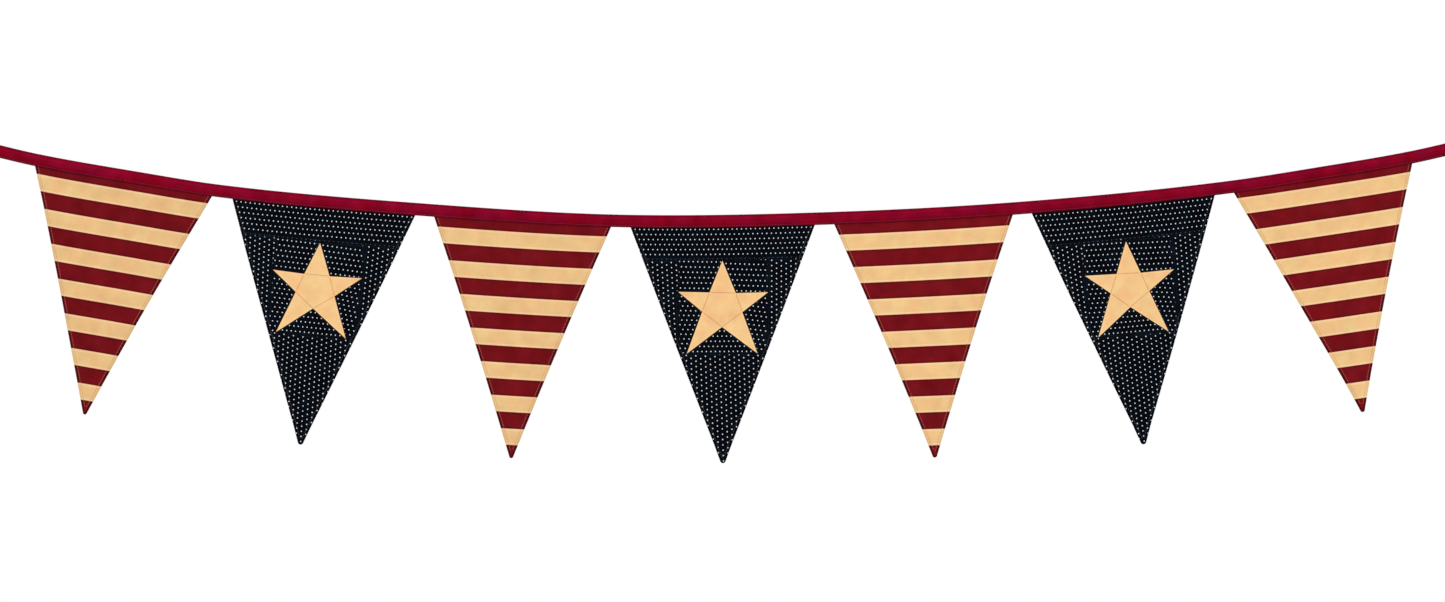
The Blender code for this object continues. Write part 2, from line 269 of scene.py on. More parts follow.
class FlagSheet:
    """The hanging surface of one flag, as functions of its sheet coordinates in millimetres."""

    def __init__(self, shape: FlagShape, line: TapeLine) -> None:
        """Finds the chord that the flag hangs from and the circle that rounds its point.

        The solid's circle touches both of its sides. The circle here ends point_short above the
        end of that one, and a straight taper touches it.

        Args:
            shape: the flag's row in the table.
            line: the tape that carries it.
        """
        self.shape = shape
        self.line = line
        half = shape.width / 2.0
        left, right = line.height(np.array([shape.middle - half, shape.middle + half]))
        length = math.hypot(shape.width, right - left)
        self.along = (shape.width / length, (right - left) / length)
        self.down = (self.along[1], -self.along[0])
        self.chord_slope = (right - left) / shape.width
        self.chord_middle = (left + right) / 2.0
        self.slant = shape.drop / math.hypot(shape.drop, half)
        narrowing = (half - 4.0 * shape.hollow) / shape.drop
        beyond_end = FLAG_TIP_RADIUS / math.sin(math.atan(narrowing)) - FLAG_TIP_RADIUS
        radius = shape.point_radius
        self.tip_centre = shape.drop - beyond_end - shape.point_short - radius
        self.taper_start = self.tip_centre - TAPER_LENGTH
        self.taper_half = float(self.cut_half_width(self.taper_start))
        reach = math.hypot(self.taper_half, TAPER_LENGTH)
        turn = math.atan2(self.taper_half, TAPER_LENGTH) - math.asin(radius / reach)
        self.taper = math.tan(turn)
        self.tip_start = self.tip_centre + radius * math.sin(turn)

    def cut_half_width(self, v: Array | float) -> Array:
        """Returns half the width of the flag as cut, with a sharp point.

        Args:
            v: distances down from the tape.

        Returns:
            width/2 (1 - s) - 4 hollow s (1 - s), where s is v over the drop.
        """
        share = np.asarray(v) / self.shape.drop
        hollow = 4.0 * self.shape.hollow * np.clip(share, 0.0, None) * (1.0 - share)
        return self.shape.width / 2.0 * (1.0 - share) - hollow

    def half_width(self, v: Array | float) -> Array:
        """Returns half the flag's width: the cut, then a taper to its round point.

        Args:
            v: distances down from the tape.

        Returns:
            The cut's half width, over the last stretch a straight line that touches the circle of
            the round point, and past the start of the round point the half chord of that circle.
        """
        taper = self.taper_half - (v - self.taper_start) * self.taper
        sides = np.where(v > self.taper_start, taper, self.cut_half_width(v))
        radius = self.shape.point_radius
        arc = np.sqrt(np.clip(radius**2 - (v - self.tip_centre) ** 2, 0.0, None))
        return np.where(v > self.tip_start, arc, sides)

    def middle_u(self, v: Array | float) -> Array:
        """Returns u of the flag's middle line, which leans evenly towards its point."""
        return self.shape.lean * np.asarray(v) / self.shape.drop

    def edge(self, v: float, sign: int) -> Point:
        """Returns the point of a side at v: sign is -1 for the left side and 1 for the right."""
        return float(self.middle_u(v) + sign * self.half_width(v)), v

    def side_distance(self, u: Array, v: Array) -> Array:
        """Returns the distance in from the nearest side or from the round point.

        Args:
            u: sheet coordinates along the chord.
            v: sheet coordinates down the flag.

        Returns:
            The gap to the side along u, times the cosine of the side's slant; past the start of the
            round point, its radius less the distance from its centre.
        """
        offset = u - self.middle_u(v)
        side = (self.half_width(v) - np.abs(offset)) * self.slant
        point = self.shape.point_radius - np.hypot(offset, v - self.tip_centre)
        return np.clip(np.where(v > self.tip_start, point, side), 0.0, None)

    def edge_gap(self, u: Array, v: Array) -> Array:
        """Returns the distance in from the nearest side, held where it no longer shows."""
        return np.minimum(self.side_distance(u, v), FAR_FROM_SEAM)

    def depth(self, u: Array, v: Array) -> Array:
        """Returns y of the middle of the cloth.

        Args:
            u: sheet coordinates along the chord.
            v: sheet coordinates down the flag.

        Returns:
            A long and a short sine wave across the flag, which fade in below the tape, less a swing
            that eases in towards the point.
        """
        shape = self.shape
        share = v / shape.drop
        long_turn = u / COCKLE_LENGTH + shape.phase + COCKLE_DRIFT * share
        short_turn = u / RIPPLE_LENGTH + RIPPLE_PHASE * shape.phase + RIPPLE_DRIFT * share
        waves = np.sin(2.0 * np.pi * long_turn) + RIPPLE_SHARE * np.sin(2.0 * np.pi * short_turn)
        return ease(v / WAVE_RAMP) * shape.cockle * waves - shape.swing * ease(share)

    def half_thickness(self, v: Array) -> Array:
        """Returns half the thickness: pressed in the tape, easing to full below it."""
        share = ease((v - FLAG_PRESSED_TO) / (FLAG_FULL_FROM - FLAG_PRESSED_TO))
        return (FLAG_PRESSED_THICKNESS + (FLAG_THICKNESS - FLAG_PRESSED_THICKNESS) * share) / 2.0

    def face_height(self, u: Array, v: Array) -> Array:
        """Returns how far each face stands from the middle of the cloth.

        Args:
            u: sheet coordinates along the chord.
            v: sheet coordinates down the flag.

        Returns:
            Half the thickness, rounded off at the turned edge, a little fuller beside it and drawn
            in along the topstitching.
        """
        distance = self.side_distance(u, v)
        below = ease(v / FLAG_FULL_FROM)
        puff = EDGE_PUFF * trough(distance, TOPSTITCH_INSET / 2.0, EDGE_PUFF_HALF_WIDTH)
        groove = GROOVE_DEPTH * trough(distance, TOPSTITCH_INSET, GROOVE_HALF_WIDTH)
        full = self.half_thickness(v) + below * (puff - groove)
        return np.clip(full * quarter_round(distance, EDGE_ROLL), THINNEST, None)

    def place(self, u: Array, v: Array, y: Array) -> Array:
        """Returns points in space, in metres.

        Args:
            u: sheet coordinates along the chord.
            v: sheet coordinates down the flag.
            y: depths.

        Returns:
            The chord's point for u and v. The top follows the tape's bend away from its chord, and
            that bend fades towards the point.
        """
        shape = self.shape
        beside = shape.middle + u * self.along[0]
        x = beside + v * self.down[0]
        z = self.chord_middle + u * self.along[1] + (v + TAPE_WIDTH) * self.down[1]
        chord = self.chord_middle + (beside - shape.middle) * self.chord_slope
        bend = (self.line.height(beside) - chord) * (1.0 - np.clip(v, 0.0, None) / shape.drop)
        return np.stack(np.broadcast_arrays(x, y, z + bend), axis=-1) * MM

    def rows(self, top: float, step: float) -> Array:
        """Returns v of each row of a grid from top to the end of the round point.

        Args:
            top: where the grid starts.
            step: distance between the rows in the body of the flag.

        Returns:
            Even rows to the round point, closer in the last stretch, then even turns of its circle.
        """
        narrow = self.tip_start - CLOSE_ROWS_LENGTH
        body = np.linspace(top, narrow, max(2, round((narrow - top) / step)))
        close = np.linspace(narrow, self.tip_start, CLOSE_ROWS)[1:]
        radius = self.shape.point_radius
        first = math.acos((self.tip_start - self.tip_centre) / radius)
        turns = np.linspace(first, LAST_TURN, POINT_TURNS)[1:]
        return np.concatenate([body, close, self.tip_centre + radius * np.cos(turns)])

    def shares(self, rows: Array, columns: int) -> Array:
        """Returns how far across the flag each point of a grid lies, from -1 to 1.

        Args:
            rows: v of each row.
            columns: how many even columns lie between the two crowded strips.

        Returns:
            A row for each v, crowded towards both sides. The crowded strips close up where the flag
            is narrow.
        """
        half = self.half_width(rows)[:, None]
        squeeze = np.minimum(half / NARROW_HALF_WIDTH, 1.0)
        strip = np.array(EDGE_STEPS)[None, :] * squeeze / self.slant
        body = np.linspace(-1.0, 1.0, columns)[None, 1:-1] * (half - strip[:, -1:])
        return np.hstack([strip - half, body, (half - strip)[:, ::-1]]) / half

    def grid(self, rows: Array, shares: Array, fall: Array | float = 0.0) -> tuple[Array, Array]:
        """Returns u and v on a grid from side to side of the flag.

        Args:
            rows: v of each level row.
            shares: how far across the flag each point lies.
            fall: how far each point lies below its level row.

        Returns:
            u, which is the share times half the width there, past the middle line, and v.
        """
        v = rows[:, None] + np.broadcast_to(fall, shares.shape)
        return self.middle_u(v) + self.half_width(v) * shares, v


@dataclass(frozen=True)
class Face:
    """A grid of points with what its finish needs to know at each.

    The points are in metres. The sheet holds the pattern's own coordinates in metres. The edge and
    the seam are distances in millimetres from the nearest side and the nearest seam.
    """

    points: Array
    sheet: Array
    edge: Array
    seam: Array


class Piece:
    """One piece of cloth or thread, gathered from closed parts and then made an object."""

    def __init__(self, name: str, tone: float = 1.0) -> None:
        """Starts an empty piece.

        Args:
            name: the object's name.
            tone: lightness of the piece's dye.
        """
        self.name = name
        self.tone = tone
        self.count = 0
        self.points: list[Array] = []
        self.sheet: list[Array] = []
        self.edge: list[Array] = []
        self.seam: list[Array] = []
        self.faces: list[list[int]] = []

    def _take(self, face: Face) -> int:
        """Stores a grid's points.

        Args:
            face: the grid.

        Returns:
            The number of its first point.
        """
        first = self.count
        self.points.append(face.points.reshape(-1, 3))
        self.sheet.append(face.sheet.reshape(-1, 2))
        self.edge.append(np.broadcast_to(face.edge, face.points.shape[:-1]).ravel())
        self.seam.append(np.broadcast_to(face.seam, face.points.shape[:-1]).ravel())
        self.count += self.points[-1].shape[0]
        return first

    def _add(self, faces: Array) -> None:
        """Stores an array of faces, each a row of point numbers."""
        self.faces += faces.tolist()

    def add_slab(self, front: Face, back: Face) -> None:
        """Adds a closed slab between two grids of one size.

        Args:
            front: the grid of the front face.
            back: the grid of the back face.
        """
        rows, columns = front.points.shape[:2]
        index = np.arange(rows * columns).reshape(rows, columns) + self._take(front)
        behind = index - index[0, 0] + self._take(back)
        for grid in (index, behind):
            quads = np.stack([grid[:-1, :-1], grid[:-1, 1:], grid[1:, 1:], grid[1:, :-1]], axis=-1)
            self._add(quads.reshape(-1, 4))
        rims = []
        for grid in (index, behind):
            rims.append(np.concatenate([grid[0], grid[1:, -1], grid[-1, -2::-1], grid[-2:0:-1, 0]]))
        walls = np.stack([rims[0], np.roll(rims[0], -1), np.roll(rims[1], -1), rims[1]], axis=-1)
        self._add(walls)

    def add_domed(self, front: Face, back: Face) -> None:
        """Adds a closed slab between two sets of rings that run from an outline to a centre.

        Args:
            front: rings of the front face, the last of them a single repeated point.
            back: rings of the back face.
        """
        outlines = []
        for face in (front, back):
            rings, count = face.points.shape[:2]
            kept = Face(face.points[:-1], face.sheet[:-1], face.edge[:-1], face.seam[:-1])
            grid = np.arange((rings - 1) * count).reshape(rings - 1, count) + self._take(kept)
            middle = Face(face.points[-1, :1], face.sheet[-1, :1], face.edge[-1, :1], face.seam[-1, :1])
            centre = self._take(middle)
            ahead = np.roll(grid, -1, axis=1)
            quads = np.stack([grid[:-1], ahead[:-1], ahead[1:], grid[1:]], axis=-1)
            self._add(quads.reshape(-1, 4))
            self._add(np.stack([grid[-1], ahead[-1], np.full(count, centre)], axis=-1))
            outlines.append(grid[0])
        walls = [outlines[0], np.roll(outlines[0], -1), np.roll(outlines[1], -1), outlines[1]]
        self._add(np.stack(walls, axis=-1))

    def add_tubes(self, tubes: Face) -> None:
        """Adds closed sections carried along paths, with a flat cap at both ends of each.

        Args:
            tubes: an array with an entry for each tube and a row for each of its sections.
        """
        many, rows, columns = tubes.points.shape[:3]
        grid = np.arange(many * rows * columns).reshape(many, rows, columns) + self._take(tubes)
        ahead = np.roll(grid, -1, axis=2)
        quads = np.stack([grid[:, :-1], ahead[:, :-1], ahead[:, 1:], grid[:, 1:]], axis=-1)
        self._add(quads.reshape(-1, 4))
        self._add(grid[:, 0])
        self._add(grid[:, -1, ::-1])

    def build(self, finish: Material) -> Item:
        """Makes the object, with its normals outwards and its pattern's coordinates as a UV map.

        Args:
            finish: its material.

        Returns:
            The object, at the origin.
        """
        mesh = bpy.data.meshes.new(self.name)
        mesh.from_pydata(np.concatenate(self.points).tolist(), [], self.faces)
        work = bmesh.new()
        work.from_mesh(mesh)
        bmesh.ops.recalc_face_normals(work, faces=work.faces)
        work.to_mesh(mesh)
        work.free()
        mesh.materials.append(finish)
        corners = np.empty(len(mesh.loops), dtype=np.int32)
        mesh.loops.foreach_get("vertex_index", corners)
        sheet = np.concatenate(self.sheet)[corners].astype(np.float32)
        mesh.uv_layers.new(name="sheet").uv.foreach_set("vector", sheet.ravel())
        tone = np.full(self.count, self.tone)
        facts = {"edge": np.concatenate(self.edge), "seam": np.concatenate(self.seam), "tone": tone}
        for name, values in facts.items():
            layer = mesh.attributes.new(name, "FLOAT", "POINT")
            layer.data.foreach_set("value", values.astype(np.float32))
        mesh.shade_smooth()
        mesh.set_sharp_from_angle(angle=SHARP_ANGLE)
        item = bpy.data.objects.new(self.name, mesh)
        bpy.context.collection.objects.link(item)
        return item


def dye(red: int, green: int, blue: int) -> Colour:
    """Returns the linear colour of a dye.

    Args:
        red: from 0 to 255 on the usual display scale, as are the others.
        green: likewise.
        blue: likewise.

    Returns:
        Each value raised from the display curve, darker by the gain of the studio's lamps.
    """
    shares = np.array([red, green, blue]) / 255.0
    linear = np.where(shares <= 0.04045, shares / 12.92, ((shares + 0.055) / 1.055) ** 2.4)
    return (*(linear / LAMP_GAIN).tolist(), 1.0)


class Nodes:
    """Adds and joins the shader nodes of one material."""

    def __init__(self, name: str, roughness: float) -> None:
        """Makes the material.

        Args:
            name: its name.
            roughness: of its shader.
        """
        self.material = bpy.data.materials.new(name)
        self.material.use_nodes = True
        self.tree = self.material.node_tree
        self.shader = self.tree.nodes["Principled BSDF"]
        self.shader.inputs["Roughness"].default_value = roughness
        self.shader.inputs["Metallic"].default_value = 0.0

    def join(self, value: Value, socket: Socket) -> None:
        """Links a socket to another, or sets it to a plain value.

        Args:
            value: the socket or the plain value that feeds it.
            socket: the socket that is fed.
        """
        if isinstance(value, Socket):
            self.tree.links.new(value, socket)
        else:
            socket.default_value = value

    def math(self, operation: str, *values: Value) -> Socket:
        """Adds one operation on numbers.

        Args:
            operation: its name.
            values: its numbers or sockets, in order.

        Returns:
            The result.
        """
        node = self.tree.nodes.new("ShaderNodeMath")
        node.operation = operation
        for value, socket in zip(values, node.inputs):
            self.join(value, socket)
        return node.outputs[0]

    def change(self, amount: Value, change: float, start: Value = 1.0) -> Socket:
        """Returns a start, most often 1, plus an amount times a change."""
        return self.math("MULTIPLY_ADD", amount, change, start)

    def smooth(self, value: Value, low: float, high: float) -> Socket:
        """Adds a smooth step of a value.

        Args:
            value: the value.
            low: where the step starts.
            high: where it ends.

        Returns:
            0 up to low, 1 from high on.
        """
        node = self.tree.nodes.new("ShaderNodeMapRange")
        node.interpolation_type = "SMOOTHSTEP"
        self.join(value, node.inputs["Value"])
        node.inputs["From Min"].default_value = low
        node.inputs["From Max"].default_value = high
        return node.outputs["Result"]

    def fade(self, value: Value, low: float, high: float) -> Socket:
        """Returns a smooth step down, 1 up to low and 0 from high on."""
        return self.math("SUBTRACT", 1.0, self.smooth(value, low, high))

    def band(self, value: Value, low: float, high: float, soft: float) -> Socket:
        """Adds a band with soft ends.

        Args:
            value: the value.
            low: where the band starts.
            high: where it ends.
            soft: half the length of each soft end.

        Returns:
            1 between low and high, 0 elsewhere.
        """
        rise = self.smooth(value, low - soft, low + soft)
        fall = self.smooth(value, high - soft, high + soft)
        return self.math("SUBTRACT", rise, fall)

    def mix(self, share: Value, first: Value, second: Value) -> Socket:
        """Mixes two colours.

        Args:
            share: how much of the second goes in, from 0 to 1.
            first: the first colour.
            second: the second colour.

        Returns:
            The mixed colour.
        """
        node = self.tree.nodes.new("ShaderNodeMix")
        node.data_type = "RGBA"
        for value, number in ((share, 0), (first, 6), (second, 7)):
            self.join(value, node.inputs[number])
        return node.outputs[2]

    def times(self, operation: str, colour: Value) -> bpy.types.Node:
        """Adds a node that multiplies a colour.

        Args:
            operation: SCALE for a number, MULTIPLY for another colour.
            colour: the colour.

        Returns:
            The node, with the colour joined to its first socket.
        """
        node = self.tree.nodes.new("ShaderNodeVectorMath")
        node.operation = operation
        self.join(colour[:3] if isinstance(colour, tuple) else colour, node.inputs[0])
        return node

    def scale(self, colour: Value, factor: Value) -> Socket:
        """Multiplies a colour by a number.

        Args:
            colour: the colour.
            factor: the number.

        Returns:
            The new colour.
        """
        node = self.times("SCALE", colour)
        self.join(factor, node.inputs["Scale"])
        return node.outputs[0]

    def tint(self, colour: Value, factor: Value) -> Socket:
        """Multiplies a colour's green and blue by a number and leaves its red.

        Args:
            colour: the colour.
            factor: the number.

        Returns:
            The new colour.
        """
        shares = self.tree.nodes.new("ShaderNodeCombineXYZ")
        for value, socket in zip((1.0, factor, factor), shares.inputs):
            self.join(value, socket)
        node = self.times("MULTIPLY", colour)
        self.tree.links.new(shares.outputs[0], node.inputs[1])
        return node.outputs[0]

    def attribute(self, name: str) -> Socket:
        """Reads one of the numbers that a piece holds at its points.

        Args:
            name: edge, seam or tone.

        Returns:
            The number.
        """
        node = self.tree.nodes.new("ShaderNodeAttribute")
        node.attribute_name = name
        return node.outputs["Fac"]

    def sheet(self) -> tuple[Socket, Socket]:
        """Reads the pattern's coordinates from the UV map.

        Returns:
            The two coordinates, in millimetres.
        """
        uv = self.tree.nodes.new("ShaderNodeUVMap")
        uv.uv_map = "sheet"
        parts = self.tree.nodes.new("ShaderNodeSeparateXYZ")
        self.tree.links.new(uv.outputs[0], parts.inputs[0])
        across = self.math("DIVIDE", parts.outputs[0], MM)
        return across, self.math("DIVIDE", parts.outputs[1], MM)

    def noise_at(self, place: Socket, scale: float, detail: float) -> Socket:
        """Adds noise about 0.

        Args:
            place: where it is read.
            scale: how many cells lie in one unit of length.
            detail: how many finer layers the noise has.

        Returns:
            The noise, from -0.5 to 0.5.
        """
        node = self.tree.nodes.new("ShaderNodeTexNoise")
        node.inputs["Scale"].default_value = scale
        node.inputs["Detail"].default_value = detail
        self.tree.links.new(place, node.inputs["Vector"])
        return self.math("SUBTRACT", node.outputs["Fac"], 0.5)

    def noise(self, u: Socket, v: Socket, width: float, height: float, detail: float = 1.0) -> Socket:
        """Adds noise that follows the sheet.

        Args:
            u: pattern coordinate across.
            v: pattern coordinate down.
            width: size of the cells across.
            height: size of the cells down.
            detail: how many finer layers the noise has.

        Returns:
            The noise, from -0.5 to 0.5.
        """
        place = self.tree.nodes.new("ShaderNodeCombineXYZ")
        self.join(self.math("DIVIDE", u, width), place.inputs[0])
        self.join(self.math("DIVIDE", v, height), place.inputs[1])
        return self.noise_at(place.outputs[0], 1.0, detail)

    def patches(self, size: float, aside: float) -> Socket:
        """Adds noise in soft patches that differ from flag to flag.

        Args:
            size: size of the patches, in millimetres.
            aside: how far the noise is shifted, in metres, so that two of a kind differ.

        Returns:
            The noise, from -0.5 to 0.5.
        """
        place = self.tree.nodes.new("ShaderNodeTexCoord")
        shift = self.tree.nodes.new("ShaderNodeMapping")
        shift.inputs["Location"].default_value = (aside, aside, aside)
        self.tree.links.new(place.outputs["Object"], shift.inputs["Vector"])
        return self.noise_at(shift.outputs[0], 1.0 / (size * MM), 2.0)

    def weave(self, u: Socket, v: Socket, pitch: float) -> Socket:
        """Returns the height of a plain weave, from 0 between threads to 1 on top of one.

        Over squares of one thread's pitch, taken in turn like a chessboard, the upper thread runs
        down and then across. Its height is the sine across it, times a swell from 0.6 to 1 along it.

        Args:
            u: pattern coordinate across.
            v: pattern coordinate down.
            pitch: distance between threads.

        Returns:
            The height.
        """
        swells, squares = [], []
        for place in (u, v):
            step = self.math("DIVIDE", place, pitch)
            turn = self.math("MULTIPLY", step, math.pi)
            swells.append(self.math("ABSOLUTE", self.math("SINE", turn)))
            squares.append(self.math("FLOOR", step))
        both = self.math("MULTIPLY", self.math("ADD", *squares), 0.5)
        odd = self.math("MULTIPLY", self.math("FRACT", both), 2.0)
        heights = []
        for over, beside in (swells, reversed(swells)):
            heights.append(self.math("MULTIPLY", over, self.change(beside, 0.4, 0.6)))
        down = self.math("MULTIPLY", heights[0], self.math("SUBTRACT", 1.0, odd))
        return self.math("MULTIPLY_ADD", heights[1], odd, down)

    def finish(self, colour: Value, height: Value, tall: float) -> Material:
        """Sets the shader's colour and its bump, and returns the material.

        Args:
            colour: the base colour.
            height: the surface's height as a share of tall.
            tall: greatest height of the bump, in millimetres.

        Returns:
            The material.
        """
        bump = self.tree.nodes.new("ShaderNodeBump")
        bump.inputs["Distance"].default_value = tall * MM
        self.join(height, bump.inputs["Height"])
        self.join(colour, self.shader.inputs["Base Color"])
        self.tree.links.new(bump.outputs[0], self.shader.inputs["Normal"])
        return self.material


@dataclass(frozen=True)
class Cotton:
    """Plain-woven cotton of one colour, the start of every finish of cloth here.

    Lengths are in millimetres. The mottle and the drift are how much lighter or darker and how much
    cooler or warmer the dye goes in patches, and the slub is how much single threads stand out. In
    every finish a shade below 0 darkens, and a reach gives the distances at which a step or a band
    starts and ends and, for a band, half the length of its soft ends.
    """

    name: str
    slot: str
    colour: Colour
    roughness: float = 0.88
    gloss: float = 0.01
    thread: float = 0.42
    relief: float = 0.035
    # Painted shade in the hollows between threads and painted light on their tops
    hollow_shade: float = 0.94
    thread_top_painted_light: float = 0.12
    mottle: float = 0.28
    mottle_patch: float = 17.0
    drift: float = 0.3
    drift_patch: float = 13.0
    drift_aside: float = 3.0
    slub: float = 0.04
    slub_length: float = 22.0
    slub_width: float = 0.9

    def uneven(self, nodes: Nodes, colour: Value, more: float = 1.0) -> Socket:
        """Returns a dye as it took to the cloth, in soft patches lighter, darker, cooler and warmer.

        Args:
            nodes: the material's nodes.
            colour: the dye.
            more: how much more uneven it is than the finish's mottle and drift say.

        Returns:
            The colour times 1 plus noise, and its green and blue times 1 plus other noise.
        """
        light = nodes.change(nodes.patches(self.mottle_patch, 0.0), self.mottle * more)
        cool = nodes.change(nodes.patches(self.drift_patch, self.drift_aside), self.drift * more)
        return nodes.tint(nodes.scale(colour, light), cool)

    def pattern(self, nodes: Nodes, u: Socket, v: Socket) -> Socket:
        """Returns the cloth's own colour at a place on its sheet, here the plain dye."""
        return self.uneven(nodes, self.colour)

    def dress(self) -> Material:
        """Makes the material: the pattern, thicker threads, the weave's bump and its painted shade
        between the threads.

        Returns:
            The material.
        """
        nodes = Nodes(self.name, self.roughness)
        nodes.shader.inputs["Specular IOR Level"].default_value = self.gloss
        u, v = nodes.sheet()
        weave = nodes.weave(u, v, self.thread)
        # Painted shade in the hollows between threads, painted light on their tops
        shade = nodes.change(weave, self.thread_top_painted_light, self.hollow_shade)
        for size in ((self.slub_length, self.slub_width), (self.slub_width, self.slub_length)):
            shade = nodes.math("MULTIPLY", shade, nodes.change(nodes.noise(u, v, *size), self.slub))
        shade = nodes.math("MULTIPLY", shade, nodes.attribute("tone"))
        colour = nodes.scale(self.pattern(nodes, u, v), shade)
        return nodes.finish(colour, weave, self.relief)


@dataclass(frozen=True)
class StripedCotton(Cotton):
    """Cotton in even stripes of a second colour, with a fine line along each stripe's edge.

    Both stripes have painted shade on the turned edge (rim), the dark stripe a painted highlight on the
    ridge inside it, and each stripe a shade of its own on the line beside the next stripe.
    """

    light: Colour = WHITE
    bleed: float = 0.2
    wander: float = 0.3
    wander_length: float = 1.1
    softness: float = 0.15
    dark_unevenness: float = 2.6
    # Painted shade on the turned edge (rim) and a painted highlight on the ridge inside it
    dark_rim_painted_shade: float = -0.58
    dark_ridge_painted_highlight: float = 0.14
    dark_line: float = -0.2
    light_rim_painted_shade: float = -0.1
    light_line: float = 0.05
    paler: float = 0.09
    rim_painted_shade_reach: Reach = (1.3, 2.6)
    ridge_painted_highlight_reach: Reach = (2.5, 4.3, 0.4)
    dark_line_reach: Reach = (0.1, 2.2, 0.3)
    light_line_reach: Reach = (-2.1, -0.2, 0.4)

    def pattern(self, nodes: Nodes, u: Socket, v: Socket) -> Socket:
        """Returns the stripes: the signed distance from the nearest stripe edge picks the colour.

        Args:
            nodes: the material's nodes.
            u: pattern coordinate across.
            v: pattern coordinate down, 0 at the top edge of the first light stripe.

        Returns:
            The colour socket.
        """
        wander = nodes.change(nodes.noise(u, v, self.wander_length, self.wander_length), self.wander, v)
        turns = nodes.math("DIVIDE", nodes.math("SUBTRACT", wander, STRIPE_TAN / 2.0), STRIPE_PITCH)
        fold = nodes.math("MULTIPLY", nodes.math("PINGPONG", turns, 0.5), STRIPE_PITCH)
        outside = nodes.math("SUBTRACT", fold, STRIPE_TAN / 2.0 - self.bleed)
        edge = nodes.attribute("edge")
        # Painted shade at the turned edge (rim), painted highlight on the ridge inside it
        rim, ridge = nodes.fade(edge, *self.rim_painted_shade_reach), nodes.band(edge, *self.ridge_painted_highlight_reach)
        dark_side = nodes.band(outside, *self.dark_line_reach)
        light_side = nodes.band(outside, *self.light_line_reach)
        dark_shade = nodes.change(ridge, self.dark_ridge_painted_highlight, nodes.change(rim, self.dark_rim_painted_shade))
        dark_shade = nodes.change(dark_side, self.dark_line, dark_shade)
        light_shade = nodes.change(light_side, self.light_line, nodes.change(rim, self.light_rim_painted_shade))
        light = nodes.scale(self.uneven(nodes, self.light), light_shade)
        light = nodes.mix(nodes.math("MULTIPLY", light_side, self.paler), light, WHITE)
        dark = nodes.scale(self.uneven(nodes, self.colour, self.dark_unevenness), dark_shade)
        return nodes.mix(nodes.smooth(outside, -self.softness, self.softness), light, dark)


@dataclass(frozen=True)
class DottedCotton(Cotton):
    """Cotton printed with pin dots in rows, each row half a step on from the last.

    The dots fade in over a reach from a seam, painted shade where the cloth turns into the seam. The
    ground has painted shade on the turned edge (rim) and a painted highlight on the raised strip along
    a seam.
    """

    dot: Colour = WHITE
    radius: float = 0.59
    softness: float = 0.1
    raggedness: float = 0.2
    grain: float = 0.5
    # Dots fade out towards a seam: painted shade where the cloth turns into it
    crease_shade_reach: Reach = (0.55, 1.1)
    print_strength: float = 0.93
    print_wear: float = 0.5
    wear_patch: float = 6.0
    wear_aside: float = 5.0
    # Painted shade on the turned edge (rim) and a painted highlight on the raised strip along a seam
    rim: float = -0.4
    rim_painted_shade_reach: Reach = (0.9, 2.0)
    raised: float = 0.9
    raised_highlight_reach: Reach = (0.5, 2.0, 0.4)

    def pattern(self, nodes: Nodes, u: Socket, v: Socket) -> Socket:
        """Returns the dots: the distance from the nearest centre of either of two even lattices.

        Args:
            nodes: the material's nodes.
            u: pattern coordinate along the rows.
            v: pattern coordinate across them.

        Returns:
            The colour socket.
        """
        along = nodes.math("PINGPONG", u, DOT_PITCH / 2.0)
        across = nodes.math("PINGPONG", v, DOT_SPACING)
        between = nodes.math("SUBTRACT", DOT_PITCH / 2.0, along)
        squares = []
        for first, second in ((along, across), (between, nodes.math("SUBTRACT", DOT_SPACING, across))):
            flat = nodes.math("MULTIPLY", first, first)
            squares.append(nodes.math("MULTIPLY_ADD", second, second, flat))
        distance = nodes.math("SQRT", nodes.math("MINIMUM", *squares))
        ragged = nodes.change(nodes.noise(u, v, self.grain, self.grain), self.raggedness, distance)
        inside = nodes.fade(ragged, self.radius - self.softness, self.radius + self.softness)
        edge, seam = nodes.attribute("edge"), nodes.attribute("seam")
        # Dots faded near a seam and the darker rim are painted shade; the lighter strip by a seam is a
        # painted highlight
        seen = nodes.math("MULTIPLY", inside, nodes.smooth(seam, *self.crease_shade_reach))
        shade = nodes.change(nodes.fade(edge, *self.rim_painted_shade_reach), self.rim)
        shade = nodes.change(nodes.band(seam, *self.raised_highlight_reach), self.raised, shade)
        ground = nodes.scale(self.uneven(nodes, self.colour), shade)
        wear = nodes.patches(self.wear_patch, self.wear_aside)
        worn = nodes.change(wear, self.print_wear, self.print_strength)
        return nodes.mix(seen, ground, nodes.scale(self.dot, worn))


@dataclass(frozen=True)
class PiecedCotton(Cotton):
    """Plain cotton sewn from pieces, with painted shade, a little warmer, where a seam draws it in and
    a painted highlight at its outline.
    """

    # Painted shade, a little warmer, where a seam draws the cloth in
    drawn: float = -0.12
    warmer: float = -0.1
    seam_painted_shade_reach: Reach = (0.25, 0.85)
    sewn_reach: Reach = (0.6, 1.6)
    # Painted highlight along the raised outline
    raised: float = 0.07
    raised_highlight_reach: Reach = (0.1, 1.7, 0.3)

    def pattern(self, nodes: Nodes, u: Socket, v: Socket) -> Socket:
        """Returns the colour, with painted shade by the nearest seam and a painted highlight along the
        outline.

        Args:
            nodes: the material's nodes.
            u: pattern coordinate across, not used.
            v: pattern coordinate down, not used.

        Returns:
            The colour socket.
        """
        seam, edge = nodes.attribute("seam"), nodes.attribute("edge")
        sewn = nodes.smooth(edge, *self.sewn_reach)
        # Painted shade in the seam, a little warmer, and a painted highlight along the raised outline
        drawn = nodes.math("MULTIPLY", nodes.fade(seam, *self.seam_painted_shade_reach), sewn)
        raised = nodes.band(edge, *self.raised_highlight_reach)
        shade = nodes.change(raised, self.raised, nodes.change(drawn, self.drawn))
        colour = nodes.scale(self.uneven(nodes, self.colour), shade)
        return nodes.tint(colour, nodes.change(drawn, self.warmer))


